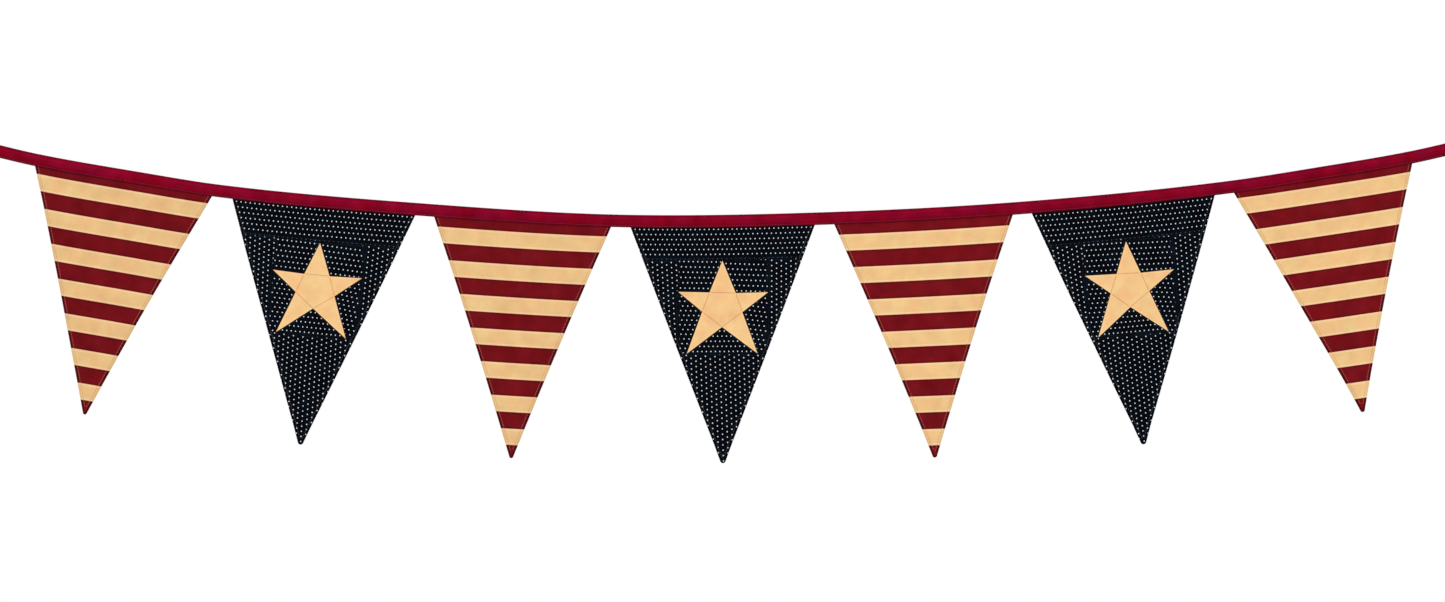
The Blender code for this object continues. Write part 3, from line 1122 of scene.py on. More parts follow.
@dataclass(frozen=True)
class BindingCotton(Cotton):
    """Cotton tape with painted shade at its fold, lower down and where its lower edge turns under the
    stitching, and a painted highlight on the crown below the fold.
    """

    # Painted shade at the fold, lower down and at the turned-under edge
    fold_painted_shade: float = -0.2
    fold_painted_shade_reach: Reach = (0.9, 2.6)
    lower_painted_shade: float = -0.17
    lower_painted_shade_reach: Reach = (6.5, 11.0)
    turned_under_painted_shade: float = -0.26
    turned_under_shade_reach: Reach = (10.4, 11.6)
    # Painted highlight, a little pinker, on the crown below the fold
    crown: float = 0.1
    crown_highlight_reach: Reach = (2.7, 4.6, 0.6)
    crown_highlight_tint: float = 0.25
    streaks: float = 0.28
    streak_length: float = 42.0
    streak_width: float = 1.5

    def pattern(self, nodes: Nodes, u: Socket, v: Socket) -> Socket:
        """Returns the colour, with painted shade and a painted highlight set by the distance down from
        the fold.

        Args:
            nodes: the material's nodes.
            u: distance along the tape.
            v: distance down from the fold.

        Returns:
            The colour socket.
        """
        # Painted highlight on the crown, painted shade at the fold, lower down and at the turned-under
        # edge
        crown = nodes.band(v, *self.crown_highlight_reach)
        shade = nodes.change(nodes.fade(v, *self.fold_painted_shade_reach), self.fold_painted_shade)
        shade = nodes.change(nodes.smooth(v, *self.lower_painted_shade_reach), self.lower_painted_shade, shade)
        shade = nodes.change(nodes.smooth(v, *self.turned_under_shade_reach), self.turned_under_painted_shade, shade)
        shade = nodes.change(crown, self.crown, shade)
        streak = nodes.noise(u, v, self.streak_length, self.streak_width, 2.0)
        shade = nodes.math("MULTIPLY", shade, nodes.change(streak, self.streaks))
        colour = nodes.scale(self.uneven(nodes, self.colour), shade)
        return nodes.tint(colour, nodes.change(crown, self.crown_highlight_tint))


@dataclass(frozen=True)
class Thread:
    """Twisted sewing thread: its twist in turns a millimetre, and the bump of its plies."""

    name: str
    slot: str
    colour: Colour
    roughness: float = 0.7
    twist: float = 1.6
    relief: float = 0.03
    # Painted shade between the plies and painted light on them
    between_plies_painted_shade: float = 0.8
    ply_painted_light: float = 0.3

    def dress(self) -> Material:
        """Makes the material: two plies that wind along each stitch, as bump and as painted shade
        between them.

        Returns:
            The material.
        """
        nodes = Nodes(self.name, self.roughness)
        along, around = nodes.sheet()
        turn = nodes.math("MULTIPLY", nodes.change(along, self.twist, around), math.pi)
        ply = nodes.math("ABSOLUTE", nodes.math("SINE", turn))
        # Painted shade between the plies, painted light on them
        shade = nodes.change(ply, self.ply_painted_light, self.between_plies_painted_shade)
        return nodes.finish(nodes.scale(self.colour, shade), ply, self.relief)


@dataclass(frozen=True)
class StitchRow:
    """A row of machine stitches along a path on the cloth, in millimetres."""

    step: float = 2.7
    length: float = 2.15
    radius: float = 0.17
    bite: float = 0.14
    taper: float = 0.8
    rings: int = 5
    sides: int = 6

    def add(self, piece: Piece, path: Array, side: Side) -> None:
        """Adds the stitches to a piece, each a short tube that dips into the cloth at both ends.

        A stitch's middle line is straight along the path and rises by bite (1 - s^2) over it, where
        s runs from -1 to 1. Its radius is that of the thread times sqrt(1 - taper s^4).

        Args:
            piece: the piece that takes them.
            path: points in space, in metres, on the surface of the cloth.
            side: the face of the bunting that they lie on.
        """
        lengths = np.concatenate([[0.0], np.cumsum(np.linalg.norm(np.diff(path, axis=0), axis=1))])
        count = int((lengths[-1] / MM - self.length) / self.step) + 1
        starts = (np.arange(count) * self.step + self.length / 2.0) * MM
        s = np.linspace(-1.0, 1.0, self.rings)
        reach = starts[:, None] + s[None, :] * self.length / 2.0 * MM
        middle = np.stack([np.interp(reach, lengths, path[:, k]) for k in range(3)], axis=-1)
        along = middle[:, -1] - middle[:, 0]
        along /= np.linalg.norm(along, axis=1, keepdims=True)
        out = np.array([0.0, side.value, 0.0])
        across = np.cross(along, out)
        lift = self.bite * (1.0 - s**2) - self.bite / 2.0
        middle = middle + lift[None, :, None] * MM * out
        radius = self.radius * np.sqrt(1.0 - self.taper * s**4) * MM
        angle = np.arange(self.sides) * 2.0 * np.pi / self.sides
        sine, cosine = np.sin(angle)[:, None], np.cos(angle)[:, None]
        spread = cosine * across[:, None, None, :] + sine * out
        points = middle[:, :, None, :] + radius[None, :, None, None] * spread
        turn = np.broadcast_to(angle / (2.0 * np.pi) * MM, points.shape[:-1])
        run = np.broadcast_to(reach[:, :, None], points.shape[:-1])
        far = np.full(points.shape[:-1], FAR_FROM_SEAM)
        piece.add_tubes(Face(points, np.stack([run, turn], axis=-1), far, far))


@dataclass(frozen=True)
class BindingTape:
    """The tape, folded in half over the flags' top edges and sewn along its lower edge.

    Lengths are in millimetres. The reaches are the stretches of x where the slot is open.
    """

    line: TapeLine
    reaches: tuple[Point, ...]
    crown: float = 0.12
    groove: float = 0.16
    groove_change: float = 0.03
    groove_half_width: float = 0.6
    unevenness: float = 0.035
    wave_lengths: tuple[float, float, float] = (31.0, 12.7, 7.1)
    wave_shares: Point = (0.7, 0.5)
    wave_phase: float = 1.3
    wave_slant: float = 5.0
    fold_fade: float = 3.0
    lower_edge_fade: float = 2.0
    station_step: float = 3.1
    lower_edge_steps: int = 6
    fold_steps: int = 6
    inner_depths: tuple[float, ...] = (TAPE_SLOT_TOP, 6.0, 10.0)
    outer_depths: tuple[float, ...] = (
        12.3, 12.0, 11.7, 11.4, 11.0, 10.2, 9.0, 7.5, 6.0, 4.5, 3.0, TAPE_SLOT_TOP,
    )
    stitches: StitchRow = StitchRow(step=2.9, length=2.3, radius=0.2)

    def half_slot(self, x: Array) -> Array:
        """Returns half the slot's width: open round a flag, easing to pressed shut between flags.

        Args:
            x: places along the line.

        Returns:
            The half width at each.
        """
        share = np.zeros_like(x)
        for left, right in self.reaches:
            beyond = np.maximum(np.maximum(left - x, x - right), 0.0)
            share = np.maximum(share, 1.0 - ease(beyond / TAPE_SLOT_EASE))
        return TAPE_PRESSED_HALF_SLOT + (TAPE_OPEN_HALF_SLOT - TAPE_PRESSED_HALF_SLOT) * share

    def stand_out(self, x: Array, depth: Array) -> Array:
        """Returns how far the outer face stands out or dips, in millimetres.

        Args:
            x: places along the line.
            depth: distances down from the fold.

        Returns:
            A slight crown, a trough along the stitching that deepens and eases in turn, and slow
            unevenness along the tape from three sine waves, the shortest of them aslant, which
            fades at the fold and at the lower edge.
        """
        crown = self.crown * np.sin(np.pi * np.clip(depth / TAPE_WIDTH, 0.0, 1.0))
        bite = self.groove + self.groove_change * np.sin(2.0 * np.pi * x / (2.0 * self.station_step))
        groove = bite * trough(depth, TAPE_SEAM_DEPTH, self.groove_half_width)
        (first, second, third), (less, least) = self.wave_lengths, self.wave_shares
        slow = np.sin(x / first) + less * np.sin(x / second + self.wave_phase)
        slow = slow + least * np.sin(x / third + depth / self.wave_slant)
        inside = ease(depth / self.fold_fade) * ease((TAPE_WIDTH - depth) / self.lower_edge_fade)
        return crown - groove + self.unevenness * slow * inside

    def section(self) -> tuple[Array, Array, Array]:
        """Returns half of the folded section, point by point.

        It runs from the head of the slot down its inner face, round the lower edge, up the outer
        face and over half the fold. The other half is its mirror image.

        Returns:
            How far each point lies through the leaf (0 on the slot's wall, 1 on the outer face), its
            depth below the top edge, and what is left of its distance from the middle plane: all of
            it up to the fold, then the cosine of the turn, down to nothing at the crest.
        """
        bend = TAPE_LEAF / 2.0
        turn = np.linspace(0.0, np.pi, self.lower_edge_steps + 1)
        fold = np.linspace(0.0, np.pi / 2.0, self.fold_steps + 1)
        lower_edge = TAPE_WIDTH - bend + bend * np.sin(turn)
        crest = TAPE_FOLD_HEIGHT * (1.0 - np.sin(fold))
        depth = np.concatenate([self.inner_depths, lower_edge, self.outer_depths, crest])
        inside, outside = np.zeros(len(self.inner_depths)), np.ones(len(self.outer_depths) + len(fold))
        out = np.concatenate([inside, (1.0 - np.cos(turn)) / 2.0, outside])
        over = np.concatenate([np.ones(len(depth) - len(fold)), np.cos(fold)])
        return out, depth, over

    def build(self, finish: Material, thread: Material) -> list[Item]:
        """Builds the tape and its stitching.

        Args:
            finish: the cloth's material.
            thread: the thread's material.

        Returns:
            The tape and the two rows of stitches, joined.
        """
        first, last = self.line.ends
        count = round((last - first) / self.station_step) + 1
        x = np.linspace(first, last, count)[:, None]
        out, depth, over = (values[None, :] for values in self.section())
        slot = self.half_slot(x)
        outer = slot + TAPE_LEAF * out
        relief = self.stand_out(x, depth) * (out >= 1.0)
        half = (outer + relief) * over
        y = np.hstack([-half, half[:, -2::-1]])
        depth = np.hstack([depth, depth[:, -2::-1]])
        depth = np.broadcast_to(depth, y.shape)
        down_x, down_z = self.line.down(x)
        points = np.stack([x + down_x * depth, y, self.line.height(x) + down_z * depth], axis=-1) * MM
        sheet = np.stack([np.broadcast_to(x, y.shape), depth], axis=-1) * MM
        far = np.full((1, *y.shape), FAR_FROM_SEAM)
        tape, stitches = Piece("tape_folded"), Piece("tape_topstitch")
        tape.add_tubes(Face(points[None], sheet[None], far, far))
        x = x[:, 0]
        down_x, down_z = self.line.down(x)
        seam_z = self.line.height(x) + down_z * TAPE_SEAM_DEPTH
        seat = self.half_slot(x) + TAPE_LEAF + self.stand_out(x, np.full_like(x, TAPE_SEAM_DEPTH))
        for side in Side:
            path = np.stack([x + down_x * TAPE_SEAM_DEPTH, side.value * seat, seam_z], axis=-1)
            self.stitches.add(stitches, path * MM, side)
        return [tape.build(finish), stitches.build(thread)]


def topstitch(flag: FlagSheet, thread: Material) -> Item:
    """Builds the topstitching down both sides of a flag, on both of its faces.

    Args:
        flag: the flag's surface.
        thread: the thread's material.

    Returns:
        The stitches, joined.
    """
    piece = Piece(f"flag_{flag.shape.number}_topstitch")
    inset = TOPSTITCH_INSET / flag.slant
    v = np.linspace(STITCH_START, flag.tip_start, STITCH_PATH_POINTS)
    v = v[flag.half_width(v) > inset + STITCH_CLEARANCE]
    row = StitchRow()
    for sign in (-1.0, 1.0):
        u = flag.middle_u(v) + sign * (flag.half_width(v) - inset)
        for side in Side:
            y = flag.depth(u, v) + side.value * flag.face_height(u, v)
            row.add(piece, flag.place(u, v, y), side)
    return piece.build(thread)


@dataclass(frozen=True)
class StripeRow:
    """How the stripes lie on one flag, in millimetres.

    The first is v of the top edge of the first tan stripe in the middle of the flag, the pitch is a
    tan and a red stripe together, and the slopes are how the stripes fall to the right, at the tape
    and at the point.
    """

    first: float
    pitch: float
    slope_top: float
    slope_tip: float


@dataclass(frozen=True)
class StripedFlag:
    """A flag of striped cotton: one closed sheet with turned and topstitched sides."""

    sheet: FlagSheet
    stripes: StripeRow
    row_step: float = 3.6
    columns: int = 34

    def pattern(self, u: Array, v: Array) -> Array:
        """Returns the pattern's coordinates in metres.

        Args:
            u: sheet coordinates along the chord.
            v: sheet coordinates down the flag.

        Returns:
            u, and the distance down from the first stripe, drawn to the shared pitch.
        """
        rows = self.stripes
        slope = rows.slope_top + (rows.slope_tip - rows.slope_top) * v / self.sheet.shape.drop
        fall = (v - slope * u - rows.first) * STRIPE_PITCH / rows.pitch
        return np.stack([u, fall], axis=-1) * MM

    def build(self, finish: Material) -> Item:
        """Builds the flag's sheet, with the same pattern on both faces.

        Args:
            finish: the cloth's material.

        Returns:
            The object.
        """
        flag = self.sheet
        rows = flag.rows(-FLAG_TUCK, self.row_step)
        u, v = flag.grid(rows, flag.shares(rows, self.columns))
        middle, tall = flag.depth(u, v), flag.face_height(u, v)
        edge = flag.edge_gap(u, v)
        far = np.full(u.shape, FAR_FROM_SEAM)
        faces = []
        for side in Side:
            points = flag.place(u, v, middle + side.value * tall)
            faces.append(Face(points, self.pattern(u, v), edge, far))
        piece = Piece(f"flag_{flag.shape.number}_sheet", flag.shape.tone)
        piece.add_slab(*faces)
        return piece.build(finish)


@dataclass(frozen=True)
class DotLattice:
    """How pin dots lie on one patch of cloth, a little off the straight grain.

    The turn is that of the rows, the pitch lies along them and the spacing across them, and the
    skew is how far the cross rows are turned from square. Angles are in degrees.
    """

    turn: float
    pitch: float
    spacing: float
    skew: float

    def pattern(self, u: Array, v: Array, dot: Point) -> Array:
        """Returns the pattern's coordinates in metres, drawn to the shared pitch and spacing.

        Args:
            u: sheet coordinates along the chord.
            v: sheet coordinates down the flag.
            dot: the sheet coordinates of one dot.

        Returns:
            Coordinates along the rows and across them, measured from that dot.
        """
        angle = math.radians(self.turn)
        right, below = u - dot[0], v - dot[1]
        along = right * math.cos(angle) + below * math.sin(angle)
        across = below * math.cos(angle) - right * math.sin(angle)
        along = along + across * math.tan(math.radians(self.skew))
        along, across = along / self.pitch * DOT_PITCH, across / self.spacing * DOT_SPACING
        return np.stack([along, across], axis=-1) * MM


class Patch(enum.Enum):
    """The dotted patches of a starred flag, each with how its cloth was turned when it was cut."""

    TOP_STRIP = DotLattice(turn=0.0, pitch=4.86, spacing=5.45, skew=2.5)
    LEFT_STRIP = DotLattice(turn=87.7, pitch=5.38, spacing=4.97, skew=3.0)
    RIGHT_STRIP = DotLattice(turn=90.7, pitch=5.45, spacing=5.06, skew=2.5)
    UPPER_LEFT = DotLattice(turn=1.4, pitch=4.82, spacing=5.6, skew=2.1)
    UPPER_RIGHT = DotLattice(turn=2.9, pitch=4.86, spacing=5.67, skew=-0.6)
    LOWER_LEFT = DotLattice(turn=1.5, pitch=5.2, spacing=4.96, skew=-7.2)
    LOWER_RIGHT = DotLattice(turn=8.5, pitch=5.33, spacing=4.88, skew=4.9)
    BETWEEN_LEGS = DotLattice(turn=0.5, pitch=4.68, spacing=5.38, skew=0.0)
    POINT = DotLattice(turn=88.7, pitch=5.46, spacing=5.02, skew=4.3)


@dataclass(frozen=True)
class StarShape:
    """The ten corners (u, v) of one star in millimetres, clockwise from the top."""

    top: Point
    upper_right_notch: Point
    right_arm: Point
    right_notch: Point
    right_leg: Point
    lower_notch: Point
    left_leg: Point
    left_notch: Point
    left_arm: Point
    upper_left_notch: Point

    @property
    def corners(self) -> list[Point]:
        """Returns the corners in order, points and notches in turn."""
        return [
            self.top, self.upper_right_notch, self.right_arm, self.right_notch, self.right_leg,
            self.lower_notch, self.left_leg, self.left_notch, self.left_arm, self.upper_left_notch,
        ]


@dataclass(frozen=True)
class Patchwork:
    """How the front of one starred flag is pieced.

    It gives v of the cross seam above the star's block, u of the tops of the block's side seams, the
    star and, for each dotted patch, the place of one dot. The top seam dips a little to the star's
    top, and the one below the block runs through the points of both legs. A patch whose cloth was
    cut otherwise than its kind is listed as recut.
    """

    top_seam: float
    left_seam: float
    right_seam: float
    star: StarShape
    dots: dict[Patch, Point]
    recut: dict[Patch, DotLattice] = field(default_factory=dict)

    def pattern(self, patch: Patch, u: Array, v: Array) -> Array:
        """Returns the dots' coordinates on one patch, in metres."""
        return self.recut.get(patch, patch.value).pattern(u, v, self.dots[patch])

    def dip(self, u: Array) -> Array:
        """Returns how far the top seam lies below its ends: it dips evenly beside the star's top."""
        tip, below = self.star.top
        return (below - self.top_seam) * np.clip(1.0 - np.abs(u - tip) / DIP_REACH, 0.0, 1.0)

    def bottom_seam(self, u: Array | float) -> Array | float:
        """Returns v of the cross seam below the block."""
        (left, left_v), (right, right_v) = self.star.left_leg, self.star.right_leg
        return left_v + (right_v - left_v) * (u - left) / (right - left)


def outline_distance(u: Array, v: Array, corners: list[Point]) -> Array:
    """Returns the distance from the nearest side of a closed outline.

    Args:
        u: sheet coordinates along the chord.
        v: sheet coordinates down the flag.
        corners: the outline's corners in order.

    Returns:
        The least distance from a side, each point being dropped square onto the side or, past its
        end, measured from the corner.
    """
    starts = np.array(corners)
    runs = np.roll(starts, -1, axis=0) - starts
    offsets = np.stack([u, v], axis=-1)[..., None, :] - starts
    shares = np.sum(offsets * runs, axis=-1) / np.sum(runs * runs, axis=-1)
    feet = offsets - np.clip(shares, 0.0, 1.0)[..., None] * runs
    return np.min(np.hypot(feet[..., 0], feet[..., 1]), axis=-1)


def ring_grid(
    flag: FlagSheet, corners: list[Point], outer: tuple[int, ...] = (),
) -> tuple[Array, Array, Array]:
    """Returns rings of points that run in from the outline of a convex patch to its centre.

    The first rings are the outline moved in by each of SEAM_STEPS, or of EDGE_STEPS in a patch that
    has an outer side, with mitred corners. An outer side follows the flag's own edge. The rest of
    the rings shrink evenly to the centre.

    Args:
        flag: the flag's surface.
        corners: the patch's corners, clockwise.
        outer: numbers of the sides that are the flag's own edge.

    Returns:
        u, v and the distance from the nearest seam, a row for each ring.
    """
    outline = np.array(corners)
    runs = np.roll(outline, -1, axis=0) - outline
    lengths = np.linalg.norm(runs, axis=1)
    inward = np.stack([-runs[:, 1], runs[:, 0]], axis=1) / lengths[:, None]
    before = np.roll(inward, 1, axis=0)
    mitre = (before + inward) / (1.0 + np.sum(before * inward, axis=1))[:, None]
    counts = np.maximum(2, np.round(lengths / PATCH_SPACING).astype(int))
    rings_u, rings_v, rings_seam = [], [], []
    for step in EDGE_STEPS if outer else SEAM_STEPS:
        start = outline + mitre * step
        end = np.roll(start, -1, axis=0)
        ring_u, ring_v, ring_seam = [], [], []
        for i, count in enumerate(counts):
            t = np.arange(count) / count
            ring_u.append(start[i, 0] + (end[i, 0] - start[i, 0]) * t)
            ring_v.append(start[i, 1] + (end[i, 1] - start[i, 1]) * t)
            ring_seam.append(np.full(count, FAR_FROM_SEAM if i in outer else step))
            if i in outer:
                sign = 1 if start[i, 0] > flag.middle_u(start[i, 1]) else -1
                edge_u = flag.middle_u(ring_v[-1]) + sign * flag.half_width(ring_v[-1])
                ring_u[-1] = edge_u - sign * step / flag.slant
        rings_u.append(np.concatenate(ring_u))
        rings_v.append(np.concatenate(ring_v))
        rings_seam.append(np.concatenate(ring_seam))
    centre_u, centre_v = np.mean(rings_u[-1]), np.mean(rings_v[-1])
    reach = float(np.min(np.hypot(rings_u[-1] - centre_u, rings_v[-1] - centre_v)))
    shares = np.linspace(0.0, 1.0, max(2, round(reach / RING_STEP)) + 1)[1:, None]
    u = np.vstack([rings_u, rings_u[-1] + (centre_u - rings_u[-1]) * shares])
    v = np.vstack([rings_v, rings_v[-1] + (centre_v - rings_v[-1]) * shares])
    seam = np.vstack([rings_seam, np.full((len(shares), u.shape[1]), FAR_FROM_SEAM)])
    return u, v, seam


@dataclass(frozen=True)
class StarredFlag:
    """A flag of dotted cotton with a pieced front, a star in its block and a plain back."""

    sheet: FlagSheet
    pieces: Patchwork
    row_step: float = 3.6
    columns: int = 30
    row_gap: float = 1.0
    levels_out_over: float = 40.0

    def foot(self, sign: int) -> Point:
        """Returns where the seam below the block meets a side: sign is -1 for the left side."""
        u = self.sheet.edge(self.pieces.bottom_seam(0.0), sign)[0]
        return self.sheet.edge(self.pieces.bottom_seam(u), sign)

    def front_depth(self, u: Array, v: Array, seam: Array) -> Array:
        """Returns y of the pieced front: the flag's front face, rolled down at each seam.

        Args:
            u: sheet coordinates along the chord.
            v: sheet coordinates down the flag.
            seam: distances from the nearest seam.

        Returns:
            The depth of each point.
        """
        sink = SEAM_SINK * (1.0 - quarter_round(seam, SEAM_ROLL)) * ease((v - SINK_START) / SINK_LENGTH)
        tall = np.maximum(self.sheet.face_height(u, v) - sink, THINNEST)
        return self.sheet.depth(u, v) - tall

    def patch_faces(self, u: Array, v: Array, seam: Array, sheet: Array) -> tuple[Face, Face]:
        """Returns the front and back grids of one thin patch.

        Args:
            u: sheet coordinates along the chord.
            v: sheet coordinates down the flag.
            seam: distances from the nearest seam.
            sheet: the pattern's coordinates.

        Returns:
            The pieced front, and a back that lies close to the middle of the flag.
        """
        flag = self.sheet
        edge = flag.edge_gap(u, v)
        front = flag.place(u, v, self.front_depth(u, v, seam))
        back = flag.place(u, v, flag.depth(u, v) - LAYER_GAP)
        return Face(front, sheet, edge, seam), Face(back, sheet, edge, seam)

    def add_band(self, piece: Piece, patch: Patch, rows: Array, from_seam: Array, fall: Array) -> None:
        """Adds a patch that reaches from side to side of the flag.

        No dot shows in the dip of the top seam, below the line that the seam keeps elsewhere: painted
        shade of the sunk cloth hides them there.

        Args:
            piece: the piece that takes it.
            patch: which patch it is.
            rows: v of each level row of its grid.
            from_seam: distance of each row from the patch's seam.
            fall: how far each point lies below its level row.
        """
        u, v = self.sheet.grid(rows, self.sheet.shares(rows, self.columns), fall)
        seam = np.broadcast_to(np.minimum(from_seam, FAR_FROM_SEAM)[:, None], u.shape)
        front, back = self.patch_faces(u, v, seam, self.pieces.pattern(patch, u, v))
        # Distance that sets the seam's painted shade and highlight, taken also from the seam's level
        # line in its dip
        seam_shade_distance = np.minimum(seam, np.abs(self.pieces.top_seam - v))
        piece.add_slab(replace(front, seam=seam_shade_distance), back)

    def add_patch(
        self, piece: Piece, patch: Patch, *corners: Point, outer: tuple[int, ...] = (),
    ) -> None:
        """Adds a patch with straight seams, and with the flag's own edge on its outer sides."""
        u, v, seam = ring_grid(self.sheet, list(corners), outer)
        piece.add_domed(*self.patch_faces(u, v, seam, self.pieces.pattern(patch, u, v)))

    def follows(self, from_seam: Array) -> Array:
        """Returns how far each row of a band follows its seam, from 1 at the seam down to 0."""
        return ease(1.0 - from_seam / self.levels_out_over)[:, None]

    def add_top_strip(self, piece: Piece) -> None:
        """Adds the strip above the block, whose lower rows dip with the top seam.

        Args:
            piece: the piece that takes it.
        """
        flag, seam_v, steps = self.sheet, self.pieces.top_seam, np.array(SEAM_STEPS)
        top = np.arange(-FLAG_TUCK, seam_v - steps[-1] - self.row_gap, self.row_step)
        rows = np.concatenate([top, seam_v - steps[::-1]])
        level_u = flag.half_width(rows)[:, None] * flag.shares(rows, self.columns)
        fall = self.follows(seam_v - rows) * self.pieces.dip(level_u)
        self.add_band(piece, Patch.TOP_STRIP, rows, seam_v - rows, fall)

    def add_point(self, piece: Piece) -> None:
        """Adds the point below the block, whose upper rows tilt with the seam above them.

        Args:
            piece: the piece that takes it.
        """
        flag, steps = self.sheet, np.array(SEAM_STEPS)
        left_v, right_v = self.foot(-1)[1], self.foot(1)[1]
        seam_v = (left_v + right_v) / 2.0
        below = flag.rows(seam_v + steps[-1] + self.row_step, self.row_step)
        rows = np.concatenate([seam_v + steps, below])
        tilt = (right_v - left_v) / 2.0
        fall = self.follows(rows - seam_v) * tilt * flag.shares(rows, self.columns)
        self.add_band(piece, Patch.POINT, rows, rows - seam_v, fall)

    def build_ground(self, finish: Material) -> Item:
        """Builds the dotted patches of the front, joined.

        Args:
            finish: the cloth's material.

        Returns:
            The object.
        """
        flag, work, star = self.sheet, self.pieces, self.pieces.star
        piece = Piece(f"flag_{flag.shape.number}_patchwork", flag.shape.tone)
        self.add_top_strip(piece)
        self.add_point(piece)
        top, foot_left, foot_right = work.top_seam, self.foot(-1), self.foot(1)
        side_left, side_right = flag.edge(top, -1), flag.edge(top, 1)
        seam_left, seam_right = (work.left_seam, top), (work.right_seam, top)
        dip_left, dip_right = ((star.top[0] + aside, top) for aside in (-DIP_REACH, DIP_REACH))
        strip = (side_left, seam_left, star.left_arm, foot_left)
        self.add_patch(piece, Patch.LEFT_STRIP, *strip, outer=(3,))
        strip = (seam_right, side_right, foot_right, star.right_arm)
        self.add_patch(piece, Patch.RIGHT_STRIP, *strip, outer=(1,))
        upper = (seam_left, dip_left, star.top, star.upper_left_notch, star.left_arm)
        self.add_patch(piece, Patch.UPPER_LEFT, *upper)
        lower = (star.left_arm, star.left_notch, star.left_leg, foot_left)
        self.add_patch(piece, Patch.LOWER_LEFT, *lower)
        upper = (star.top, dip_right, seam_right, star.right_arm, star.upper_right_notch)
        self.add_patch(piece, Patch.UPPER_RIGHT, *upper)
        lower = (star.right_notch, star.right_arm, foot_right, star.right_leg)
        self.add_patch(piece, Patch.LOWER_RIGHT, *lower)
        between = (star.lower_notch, star.right_leg, star.left_leg)
        self.add_patch(piece, Patch.BETWEEN_LEGS, *between)
        return piece.build(finish)

    def build_star(self, finish: Material) -> Item:
        """Builds the star: five points sewn to a five-sided middle.

        Args:
            finish: the cloth's material.

        Returns:
            The object.
        """
        number = self.sheet.shape.number
        piece = Piece(f"star_{number}_cloth", self.sheet.shape.tone)
        corners = self.pieces.star.corners
        notches = corners[1::2]
        outlines = [[notches[i - 1], corners[2 * i], notches[i]] for i in range(5)] + [notches]
        for outline in outlines:
            u, v, seam = ring_grid(self.sheet, outline)
            sheet = np.stack([u, v], axis=-1) * MM
            edge = np.minimum(outline_distance(u, v, corners), FAR_FROM_SEAM)
            front, back = self.patch_faces(u, v, seam, sheet)
            piece.add_domed(replace(front, edge=edge), replace(back, edge=edge))
        return piece.build(finish)

    def build_back(self, finish: Material) -> Item:
        """Builds the plain back of the flag, one sheet behind the pieced front.

        Args:
            finish: the cloth's material.

        Returns:
            The object.
        """
        flag = self.sheet
        rows = flag.rows(-FLAG_TUCK, 2.0 * self.row_step)
        u, v = flag.grid(rows, flag.shares(rows, self.columns))
        middle, tall = flag.depth(u, v), flag.face_height(u, v)
        sheet = Patch.TOP_STRIP.value.pattern(u, v, (0.0, 0.0))
        edge = flag.edge_gap(u, v)
        far = np.full(u.shape, FAR_FROM_SEAM)
        front = Face(flag.place(u, v, middle + LAYER_GAP), sheet, edge, far)
        back = Face(flag.place(u, v, middle + np.maximum(tall, THINNEST)), sheet, edge, far)
        piece = Piece(f"flag_{flag.shape.number}_back", flag.shape.tone)
        piece.add_slab(front, back)
        return piece.build(finish)


FLAGS = (
    FlagShape(1, Cloth.STRIPED, middle=-628.9, width=188.8, drop=252.9, lean=1.5, hollow=1.7,
              swing=4.0, cockle=1.5, phase=0.10, tone=0.95),
    FlagShape(2, Cloth.STARRED, middle=-418.6, width=192.8, drop=255.0, lean=-2.3, hollow=-0.5,
              swing=-2.5, cockle=1.2, phase=0.55, point_radius=3.0, point_short=0.5),
    FlagShape(3, Cloth.STRIPED, middle=-209.9, width=186.1, drop=252.6, lean=2.6, hollow=1.6,
              swing=3.0, cockle=1.8, phase=0.80, tone=0.97),
    FlagShape(4, Cloth.STARRED, middle=0.2, width=193.4, drop=253.2, lean=-3.0, hollow=-0.2,
              swing=-3.5, cockle=1.0, phase=0.25, point_radius=3.0, point_short=0.5),
    FlagShape(5, Cloth.STRIPED, middle=211.1, width=187.8, drop=254.2, lean=-1.8, hollow=1.6,
              swing=5.0, cockle=1.6, phase=0.40, tone=1.02, point_radius=2.4),
    FlagShape(6, Cloth.STARRED, middle=420.8, width=193.2, drop=256.8, lean=-3.3, hollow=-0.9,
              swing=-2.0, cockle=1.3, phase=0.95, point_radius=3.1),
    FlagShape(7, Cloth.STRIPED, middle=630.6, width=190.0, drop=253.4, lean=0.3, hollow=1.5,
              swing=3.5, cockle=1.7, phase=0.65, tone=1.02, point_radius=2.4),
)

STRIPES = {
    1: StripeRow(first=7.84, pitch=34.75, slope_top=0.002, slope_tip=0.005),
    3: StripeRow(first=9.85, pitch=34.53, slope_top=0.001, slope_tip=0.005),
    5: StripeRow(first=10.65, pitch=34.82, slope_top=-0.003, slope_tip=0.016),
    7: StripeRow(first=7.23, pitch=34.96, slope_top=0.011, slope_tip=0.022),
}

